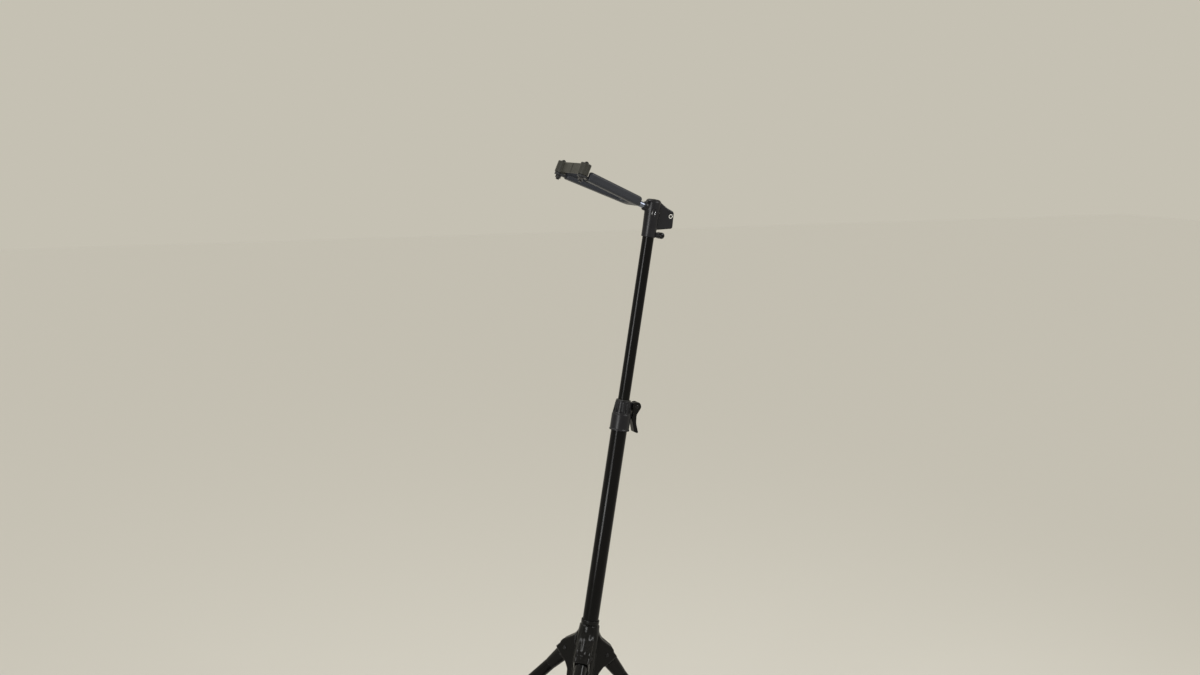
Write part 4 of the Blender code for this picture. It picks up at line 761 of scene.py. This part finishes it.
lever_seat = seat(joints["lever_cam"]["pos_m"], mast_up)
HUMP_R, LEVER_HALF, FORK_HALF, FORK_FOOT = 0.0074, 0.0070, 0.0033, -0.0069
hump = arc(HUMP_R, math.radians(-25), math.radians(205), 40)
waist = 0.0150 + 0.0013 - PIN_BACK
lever_side = rounded([(*spot, 0) for spot in hump] + [
    (waist, -0.0100, 0.004), (waist, -0.0200, 0.012), (0.0021, -0.0399, 0.0016), (0.0096, -0.0420, 0.0016),
    (0.0030, -0.0255, 0.020), (0.0018, -0.0130, 0.008)])
lever_low, lever_high = (-0.009, -0.010, -0.045), (0.009, 0.013, 0.010)
x, y, z = grid_points(lever_low, lever_high, CLUTCH_STEP)
lever = slab(outline_field(lever_side, step=0.0002)(y, z), x, LEVER_HALF, 0.0012)
lever = carved(lever, np.maximum(np.abs(x) - FORK_HALF, FORK_FOOT - z), 0.0004)
lever_piece = moulded("cam_lever", lever, lever_low, CLUTCH_STEP, lever_seat)
dress(lever_piece, gloss_moulding, "satin_moulding", "lever", "clutch_lever")
lever_pin = lathe("cam_pin", domed_pin(0.0073, 0.0030, 0.0009, 0.0020), lever_seat, around=40, turn="X")
dress(lever_pin, dark_steel, "zinc", "base", "clutch_lever_pin")


# Upper mast tube: gloss black steel of 18 mm that slides in the clutch. A nylon bush on its foot,
# inside the lower tube, keeps it straight.

UPPER_R, HEAD_RISE, UPPER_FOOT, UPPER_TOP, BUSH_R, BUSH_TOP = 0.009, 0.604, -0.604, 0.033, 0.0110, -0.578
upper = moved(mast, 0, 0, HEAD_RISE)
upper_wall = tube_profile(UPPER_R, UPPER_R - TUBE_WALL, UPPER_FOOT, UPPER_TOP)
upper_piece = lathe("mast_upper", upper_wall, upper, around=80, ring=True)
dress(upper_piece, gloss_black, "gloss_tube", "upper_mast", "upper_tube")
bush_wall = tube_profile(BUSH_R, UPPER_R + GAP, UPPER_FOOT, BUSH_TOP)
bush = lathe("mast_bush", bush_wall, upper, around=64, ring=True)
dress(bush, nylon, "nylon", "upper_mast", "guide_bush")


# Head: a satin black moulding clamped on the upper tube by a screw, with a domed sleeve, a rear
# fin that holds an eyelet, and a boss for the yoke's stem. Two short slots on each side each hold a
# thin bright zinc rod, a painted glint in the slot.

head_low, head_high = (-0.0145, -0.0185, -0.0015), (0.0145, 0.0400, 0.0600)
HEAD_STEP = 0.0005
x, y, z = grid_points(head_low, head_high, HEAD_STEP)
radial = np.hypot(x, y)
HEAD_H, FIN_HALF = 0.0584, 0.0040
sleeve = outline_field(rounded([
    (-0.004, HEAD_H, 0), (0.0120, HEAD_H, 0.0055), (0.0120, HEAD_H - 0.0155, 0.02), (0.0111, 0.0120, 0.03),
    (0.0111, 0, 0.0008), (-0.004, 0, 0)]), step=0.0003)
head = sleeve(radial, z)
fin = outline_field(rounded([
    (0.000, HEAD_H - 0.0004, 0), (0.0114, HEAD_H - 0.0036, 0.020), (0.0229, HEAD_H - 0.0102, 0.020),
    (0.0357, HEAD_H - 0.0148, 0.0045), (0.0371, 0.0178, 0.0035), (0.0140, 0.0131, 0), (0.000, 0.0125, 0)]))
head = grown(head, slab(fin(y, z), x, FIN_HALF, 0.0016), 0.0022)
TILT, BOSS_R, STEM_ROOM, LUG_R, EYE_HOLE = math.radians(14.0), 0.0073, 0.0050, 0.0050, 0.0028
back, over = y + 0.0155, z - 0.0468
stem_y, stem_z = turned(back, over, -TILT)
boss = slab(np.hypot(x, stem_z) - BOSS_R, stem_y - 0.0065, 0.0065, 0.0008)
head = grown(head, boss, 0.0012)
LUG_BACK, LUG_RISE, EYE_BACK, EYE_RISE = 0.019, 0.0048, 0.0304, 0.0361
lug = slab(np.hypot(y - LUG_BACK, z - LUG_RISE) - LUG_R, x, 0.0075, 0.0010)
web = np.maximum(np.maximum(np.abs(x) - 0.0059, np.abs(z - LUG_RISE) - 0.0036), np.abs(y - 0.0145) - 0.0045)
head = grown(grown(head, web, 0.0010), lug, 0.0006)
head = carved(head, np.maximum(radial - (UPPER_R + GAP), z - (UPPER_TOP + GAP)), 0.0004)
head = carved(head, np.maximum(np.hypot(x, stem_z) - STEM_ROOM, stem_y - 0.0203), 0.0003)
head = carved(head, np.maximum(np.maximum(np.abs(x) - 0.0008, -y), z - 0.0125), 0.0004)
head = carved(head, np.hypot(y - EYE_BACK, z - EYE_RISE) - EYE_HOLE, 0.0003)
SLOTS = [math.radians(azimuth) for azimuth in (-90, -67, 67, 90)]
SLOT_MID, SLOT_HALF, SLOT_R, SLOT_FLOOR = HEAD_H - 0.0205, 0.0041, 0.0010, 0.0105
for azimuth in SLOTS:
    aside, inward = turned(x, y, azimuth)
    groove = np.hypot(aside, np.maximum(np.abs(z - SLOT_MID) - SLOT_HALF, 0)) - SLOT_R
    head = carved(head, np.maximum(groove, SLOT_FLOOR + inward), 0.0004)
head_piece = moulded("head_moulding", head, head_low, HEAD_STEP, upper)
dress(head_piece, satin_moulding, "satin_moulding", "upper_mast", "head_body")

# Thin bright zinc rods set in the four slots: painted glints, not parts of the stand.
GLINT_R, GLINT_HALF, GLINT_AT, GLINT_RISE = 0.00035, 0.0030, 0.0113, HEAD_H - 0.0214
glint_side = rounded([(0, GLINT_HALF, 0), (GLINT_R, GLINT_HALF, 0.0002), (GLINT_R, -GLINT_HALF, 0.0002),
                      (0, -GLINT_HALF, 0)])
for number, azimuth in enumerate(SLOTS, 1):
    glint_seat = moved(upper, GLINT_AT * math.sin(azimuth), -GLINT_AT * math.cos(azimuth), GLINT_RISE)
    glint_rod = lathe("painted_glint_%d" % number, glint_side, glint_seat, around=16)
    dress(glint_rod, zinc, "zinc", "upper_mast")

LUG_FACE, DRIVE_R, SCREW_HEAD_R, SCREW_R, SCREW_END = 0.0078, 0.0014, 0.0042, 0.0020, -0.0112
screw = lathe("clamp_screw", rounded([
    (0, LUG_FACE + 0.0004, 0), (DRIVE_R, LUG_FACE + 0.0004, 0), (DRIVE_R, LUG_FACE + 0.0018, 0.0002),
    (0.0034, LUG_FACE + 0.0014, 0.0012), (SCREW_HEAD_R, LUG_FACE, 0.0002), (SCREW_R, LUG_FACE, 0),
    (SCREW_R, SCREW_END, 0.0003), (0, SCREW_END, 0)]),
    moved(upper, 0, LUG_BACK, LUG_RISE), around=48, turn="X")
dress(screw, dark_steel, "zinc", "upper_mast", "head_clamp_screw")
recoat("head_clamp_nut", dark_steel)

pale_zinc = finish("pale_eyelet", (0.80, 0.80, 0.78), 0.30, (0.9, 0.9, 0.9), metal=0.6, grain=500.0,
                   grain_depth=0.01, dust=0.0)
eye_seat = moved(upper, 0, EYE_BACK, EYE_RISE)
EYELET_R, EYELET_HALF, BARREL_R, BORE_R, FIN_FACE = 0.0033, 0.0051, 0.0025, 0.0021, FIN_HALF + GAP
half_eyelet = [(BORE_R, FIN_FACE, 0), (BORE_R + 0.0001, EYELET_HALF, 0.0004), (EYELET_R, EYELET_HALF, 0.0004),
               (EYELET_R, FIN_FACE, 0), (BARREL_R, FIN_FACE, 0)]
other_half = [(across, -along, edge) for across, along, edge in reversed(half_eyelet)]
eyelet = lathe("fin_eyelet", rounded(half_eyelet + other_half), eye_seat, around=48, ring=True, turn="X")
dress(eyelet, pale_zinc, "zinc", "upper_mast", "head_eyelet")
# Faces inside the eyelet's bore take the dark steel finish: painted shade in the hole of a one-piece pale
# eyelet.
eyelet.data.materials.append(dark_steel)
corners = np.zeros(len(eyelet.data.vertices) * 3, np.float32)
eyelet.data.vertices.foreach_get("co", corners)
local = (corners.reshape(-1, 3) - eye_seat[:3, 3]) @ eye_seat[:3, :3]
shaded_bore_points = (np.hypot(local[:, 1], local[:, 2]) < BORE_R + GAP) & (np.abs(local[:, 0]) < EYELET_HALF - 0.0002)
rim = np.zeros(len(eyelet.data.loops), np.int32)
eyelet.data.loops.foreach_get("vertex_index", rim)
bore = shaded_bore_points[rim].reshape(-1, 4).all(axis=1)
eyelet.data.polygons.foreach_set("material_index", bore.astype(np.int32))


# Yoke: a flat V of coated steel, welded to a short plated stem, with a tab under each gate. Soft
# blue-grey rubber with rounded edges is moulded round it.

gate_axis = np.array(joints["gate_swing_left"]["axis"])
pivots = [np.array(joints["gate_swing_" + side]["pos_m"]) for side in ("left", "right")]
yoke = seat((pivots[0] + pivots[1]) / 2, gate_axis)
ARM_W, BACK, BACK_HALF, ARM_END, THROAT, GATE_X, GATE_Y = 0.017, 0.015, 0.027, 0.1205, 0.030, 0.045, 0.130
yoke[:3, 3] += yoke[:3, 1] * GATE_Y
splay = math.atan2(GATE_X - (BACK_HALF - ARM_W / 2), GATE_Y - BACK)
wide = ARM_W / math.cos(splay)


def arm_side(reach):
    """Half width of the yoke over its arms at a distance forward: a straight line from back to tip."""
    tip = GATE_X + ARM_W / 2 / math.cos(splay)
    return BACK_HALF + (tip - BACK_HALF) * (reach - BACK) / (GATE_Y - BACK)


def mirrored(right):
    """A closed plan from its right half (x, reach, radius), with the front at -Y."""
    left = [(-px, reach, r) for px, reach, r in reversed(right)]
    return rounded([(px, -reach, r) for px, reach, r in right + left])


cover_plan = mirrored([(arm_side(BACK) - 0.0005, BACK, 0.012), (arm_side(ARM_END), ARM_END, 0.0042),
                       (arm_side(ARM_END) - wide, ARM_END, 0.0042),
                       (arm_side(THROAT) - wide, THROAT, 0.0095)])


def frame_plan(grow=0.0):
    """Plan of the steel: a narrower V with a round-ended tab at each pivot."""
    strip = 0.009 / 2 / math.cos(splay) + grow
    middle = lambda reach: arm_side(reach) - wide / 2
    root, tip, tab = GATE_Y - 0.008 - grow, GATE_Y + 0.007 + grow, 0.007 + grow
    return mirrored([(middle(0.019) + strip, 0.019 - grow, 0.004), (middle(root) + strip, root, 0),
                     (GATE_X + tab, root + 0.003, 0.003), (GATE_X + tab, tip, 0.0066),
                     (GATE_X - tab, tip, 0.0066), (GATE_X - tab, root + 0.003, 0.003),
                     (middle(root) - strip, root, 0), (middle(0.0265) - strip, 0.0265 + grow, 0.004)])


yoke_low, yoke_high = (-0.056, -0.125, -0.0090), (0.056, -0.012, 0.0090)
YOKE_STEP = 0.0006
COVER_HALF, COVER_EDGE, STEEL_THICK, STEEL_TOP = 0.00725, 0.0036, 0.0035, -0.0022
STEEL_MID = STEEL_TOP - STEEL_THICK / 2
SWING_ROOM, BLADE_ROOM, BLADE_SWEEP = math.radians(74.5), 0.0026, 0.0463
x, y, z = grid_points(yoke_low, yoke_high, YOKE_STEP)
cover = slab(outline_field(cover_plan)(x, y), z, COVER_HALF, COVER_EDGE)
steel = slab(outline_field(frame_plan(GAP))(x, y), z - STEEL_MID, STEEL_THICK / 2 + GAP, 0.0002)
cover = carved(cover, steel, 0.0004)
cover = carved(cover, np.maximum(np.hypot(x, z) - STEM_ROOM, -y - 0.0253), 0.0004)
room = outline_field(np.concatenate([
    [[BLADE_ROOM, -BLADE_ROOM], [-BLADE_SWEEP, -BLADE_ROOM]], arc(BLADE_SWEEP, 0, SWING_ROOM, 24) * (-1, 1),
    [[BLADE_ROOM * math.sin(SWING_ROOM), BLADE_ROOM * math.cos(SWING_ROOM)]]]))
for sign in (-1, 1):
    cover = carved(cover, np.maximum(room(x * sign - GATE_X, y + GATE_Y), -0.0007 - z), 0.0005)
yoke_rubber = finish("yoke_rubber", (0.0165, 0.0190, 0.0270), 0.44, (0.055, 0.058, 0.066), rough_swing=0.12,
                     grain_depth=0.08, dust=0.06, ior=1.42)
cover_piece = moulded("yoke_rubber_cover", cover, yoke_low, YOKE_STEP, yoke)
dress(cover_piece, yoke_rubber, "yoke_rubber", "upper_mast", "yoke_cover")


def plate(name, plan, thickness, middle, place, edge=0.0003):
    """A flat plan given a thickness: two faces and a strip of sides, its edges then bevelled."""
    count = len(plan)
    flat = np.concatenate([plan, plan])
    height = np.repeat([middle + thickness / 2, middle - thickness / 2], count)
    points = np.column_stack([flat, height]) @ place[:3, :3].T + place[:3, 3]
    near = np.arange(count)
    far = (near + 1) % count
    anticlockwise = (plan[:, 0] * np.roll(plan[:, 1], -1) - np.roll(plan[:, 0], -1) * plan[:, 1]).sum() > 0
    sides = np.stack([near, near + count, far + count, far], -1)
    order = 1 if anticlockwise else -1
    faces = [face[::order].tolist() for face in (near, (near + count)[::-1], *sides)]
    mesh = bpy.data.meshes.new(name)
    mesh.from_pydata(points.tolist(), [], faces)
    obj = added(name, mesh)
    bevel = obj.modifiers.new("edge", "BEVEL")
    bevel.width, bevel.segments, bevel.limit_method = edge, 2, "ANGLE"
    return obj


plated_steel = finish("grey_plate", (0.17, 0.19, 0.24), 0.34, (0.35, 0.36, 0.40), rough_swing=0.16, metal=1.0,
                      grain=800.0, grain_depth=0.03, dust=0.08)
coated_steel = finish("coated_steel", (0.016, 0.017, 0.020), 0.38, (0.06, 0.06, 0.065), rough_swing=0.12,
                      grain_depth=0.04, dust=0.08, scuff=0.4, ior=1.42)
STEM_R, STEM_TOP, STEM_FOOT = 0.0047, 0.0250, -0.0200
steel_piece = plate("yoke_steel", frame_plan(), STEEL_THICK, STEEL_MID, yoke)
dress(steel_piece, coated_steel, "grey_steel", "upper_mast", "yoke_frame")
stem_seat = seat(yoke[:3, 3], -yoke[:3, 1])
stem = lathe("yoke_stem", rounded([(0, STEM_TOP, 0), (STEM_R, STEM_TOP, 0.0006), (STEM_R, STEM_FOOT, 0.0006),
                                   (0, STEM_FOOT, 0)]), stem_seat, around=64)
dress(stem, plated_steel, "grey_steel", "upper_mast")


# Gates: two dark olive mouldings, each a barrel on its pivot bolt with a thin blade that reaches
# to the middle. A wire spring in the foot of each barrel swings it shut again.

olive_moulding = finish("olive_moulding", (0.0240, 0.0238, 0.0195), 0.40, (0.075, 0.075, 0.068), grain=1200.0,
                        grain_depth=0.06, dust=0.06, ior=1.42)
GATE_FOOT, GATE_H, GATE_STEP = -0.0019, 0.0178, 0.0004
BARREL_OUT, SPRING_ROOM, GATE_BORE = 0.0082, 0.0061, 0.0028
BLADE_HALF_LONG, BLADE_HALF_THICK = 0.0221, 0.0020
GATE_BOLT_R, GATE_BOLT_FOOT, COIL_R, WIRE_R, COIL_PITCH = 0.0025, -0.0124, 0.0046, 0.0005, 0.0017
gate_top = GATE_FOOT + GATE_H
for side, sign in (("left", -1), ("right", 1)):
    pivot = np.array(joints["gate_swing_" + side]["pos_m"])
    gate_seat = seat(pivot, gate_axis)
    start, end = sorted((sign * 0.010, -sign * 0.046))
    low, high = (start, -0.0095, -0.0020), (end, 0.0095, gate_top + 0.0012)
    x, y, z = grid_points(low, high, GATE_STEP)
    radial, reach = np.hypot(x, y), -sign * x
    barrel = slab(radial - BARREL_OUT, z - (gate_top + GATE_FOOT) / 2, GATE_H / 2, 0.0011)
    blade_flat = slab(np.abs(reach - BLADE_HALF_LONG) - BLADE_HALF_LONG, y, BLADE_HALF_THICK, 0.0009)
    blade_mid = (gate_top - 0.0004 + GATE_FOOT + 0.0015) / 2
    gate = grown(barrel, slab(blade_flat, z - blade_mid, (GATE_H - 0.0019) / 2, 0.0006), 0.0008)
    gate = carved(gate, np.maximum(radial - SPRING_ROOM, z - GATE_FOOT - 0.0080), 0.0003)
    gate = carved(gate, radial - GATE_BORE, 0.0003)
    gate_piece = moulded("gate_moulding_" + side, gate, low, GATE_STEP, gate_seat)
    dress(gate_piece, olive_moulding, "olive_moulding", "gate_arm_" + side, "gate_" + side)
    gate_bolt = lathe("gate_bolt_" + side, np.concatenate([dome(0.0033, 0.0028, gate_top + GAP), rounded([
        (GATE_BOLT_R, gate_top + GAP, 0), (GATE_BOLT_R, GATE_BOLT_FOOT, 0.0005), (0, GATE_BOLT_FOOT, 0)])]),
        gate_seat, around=48)
    dress(gate_bolt, dark_steel, "dark_steel", "upper_mast", "gate_pin_" + side)
    recoat("gate_nut_" + side, dark_steel)
    turns = np.linspace(0, 3.5 * 2 * math.pi, 150)
    rise = GATE_FOOT + 0.0008 + COIL_PITCH * turns / (2 * math.pi)
    coil = np.stack([COIL_R * np.cos(turns), sign * COIL_R * np.sin(turns), rise], -1)
    spring = carried("gate_coil_" + side, coil, np.full(len(coil), WIRE_R), gate_seat, (0, 0, 1), around=12)
    dress(spring, dark_steel, "zinc", "upper_mast", "gate_spring_" + side)


# Floor, light and camera: a plain pale floor, and soft light from two window panes left of the
# camera, from a lamp on its right and from above. The camera is level with the yoke, on the
# stand's right-hand side and a little in front.

pale = bpy.data.materials.new("pale_floor")
pale.use_nodes = True
pale.node_tree.nodes["Principled BSDF"].inputs["Base Color"].default_value = (0.601, 0.587, 0.547, 1)
pale.node_tree.nodes["Principled BSDF"].inputs["Roughness"].default_value = 0.9
FLOOR_HALF = 12.0
floor_corners = np.array([[-1, -1, 0], [1, -1, 0], [1, 1, 0], [-1, 1, 0]]) * FLOOR_HALF
ground = put("floor", floor_corners, np.array([[0, 1, 2, 3]]))
ground.data.materials.append(pale)
ground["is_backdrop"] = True

world = bpy.data.worlds.new("room")
bpy.context.scene.world = world
world.use_nodes = True
background = world.node_tree.nodes["Background"]
background.inputs["Color"].default_value = (0.560, 0.532, 0.452, 1)
background.inputs["Strength"].default_value = 1.0


def lamp(name, spot, aim, width, height, power, spread):
    """A soft upright rectangular lamp at a spot, facing the aim, with its light kept in a cone."""
    data = bpy.data.lights.new(name, "AREA")
    data.shape, data.size, data.size_y, data.energy = "RECTANGLE", height, width, power
    data.spread = math.radians(spread)
    facing = seat(spot, np.array(spot, float) - np.array(aim, float), (0.0, 0.0, 1.0))
    added(name, data).matrix_world = facing.T.tolist()


lamp("window_low", (1.62, -2.40, 0.45), (0, 0, 0.45), 0.9, 0.30, 2.2, 70)
lamp("window_high", (1.62, -2.40, 1.25), (0, 0, 1.25), 0.9, 0.80, 4.6, 70)
lamp("side", (1.5, 1.4, 1.8), (0, 0, 0.6), 1.2, 0.5, 6, 90)
daylight = bpy.data.lights.new("daylight", "SUN")
daylight.energy, daylight.angle = 1.2, math.radians(30)
added("daylight", daylight).matrix_world = seat((0, 0, 3), (-0.30, -0.40, 0.86)).T.tolist()

lens = bpy.data.cameras.new("camera")
lens.lens, lens.sensor_width, lens.sensor_fit = 45.0, 36.0, "HORIZONTAL"
camera = added("camera", lens)
view = np.eye(4)
view[:3, 0] = (0.3932, 0.9194, 0.0)
view[:3, 1] = (-0.1328, 0.0568, 0.9895)
view[:3, 2] = (0.9098, -0.3891, 0.1444)
view[:3, 3] = mast[:3, 3] + (2.086, -0.876, 0.776)
camera.matrix_world = view.T.tolist()
bpy.context.scene.camera = camera

low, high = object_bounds()
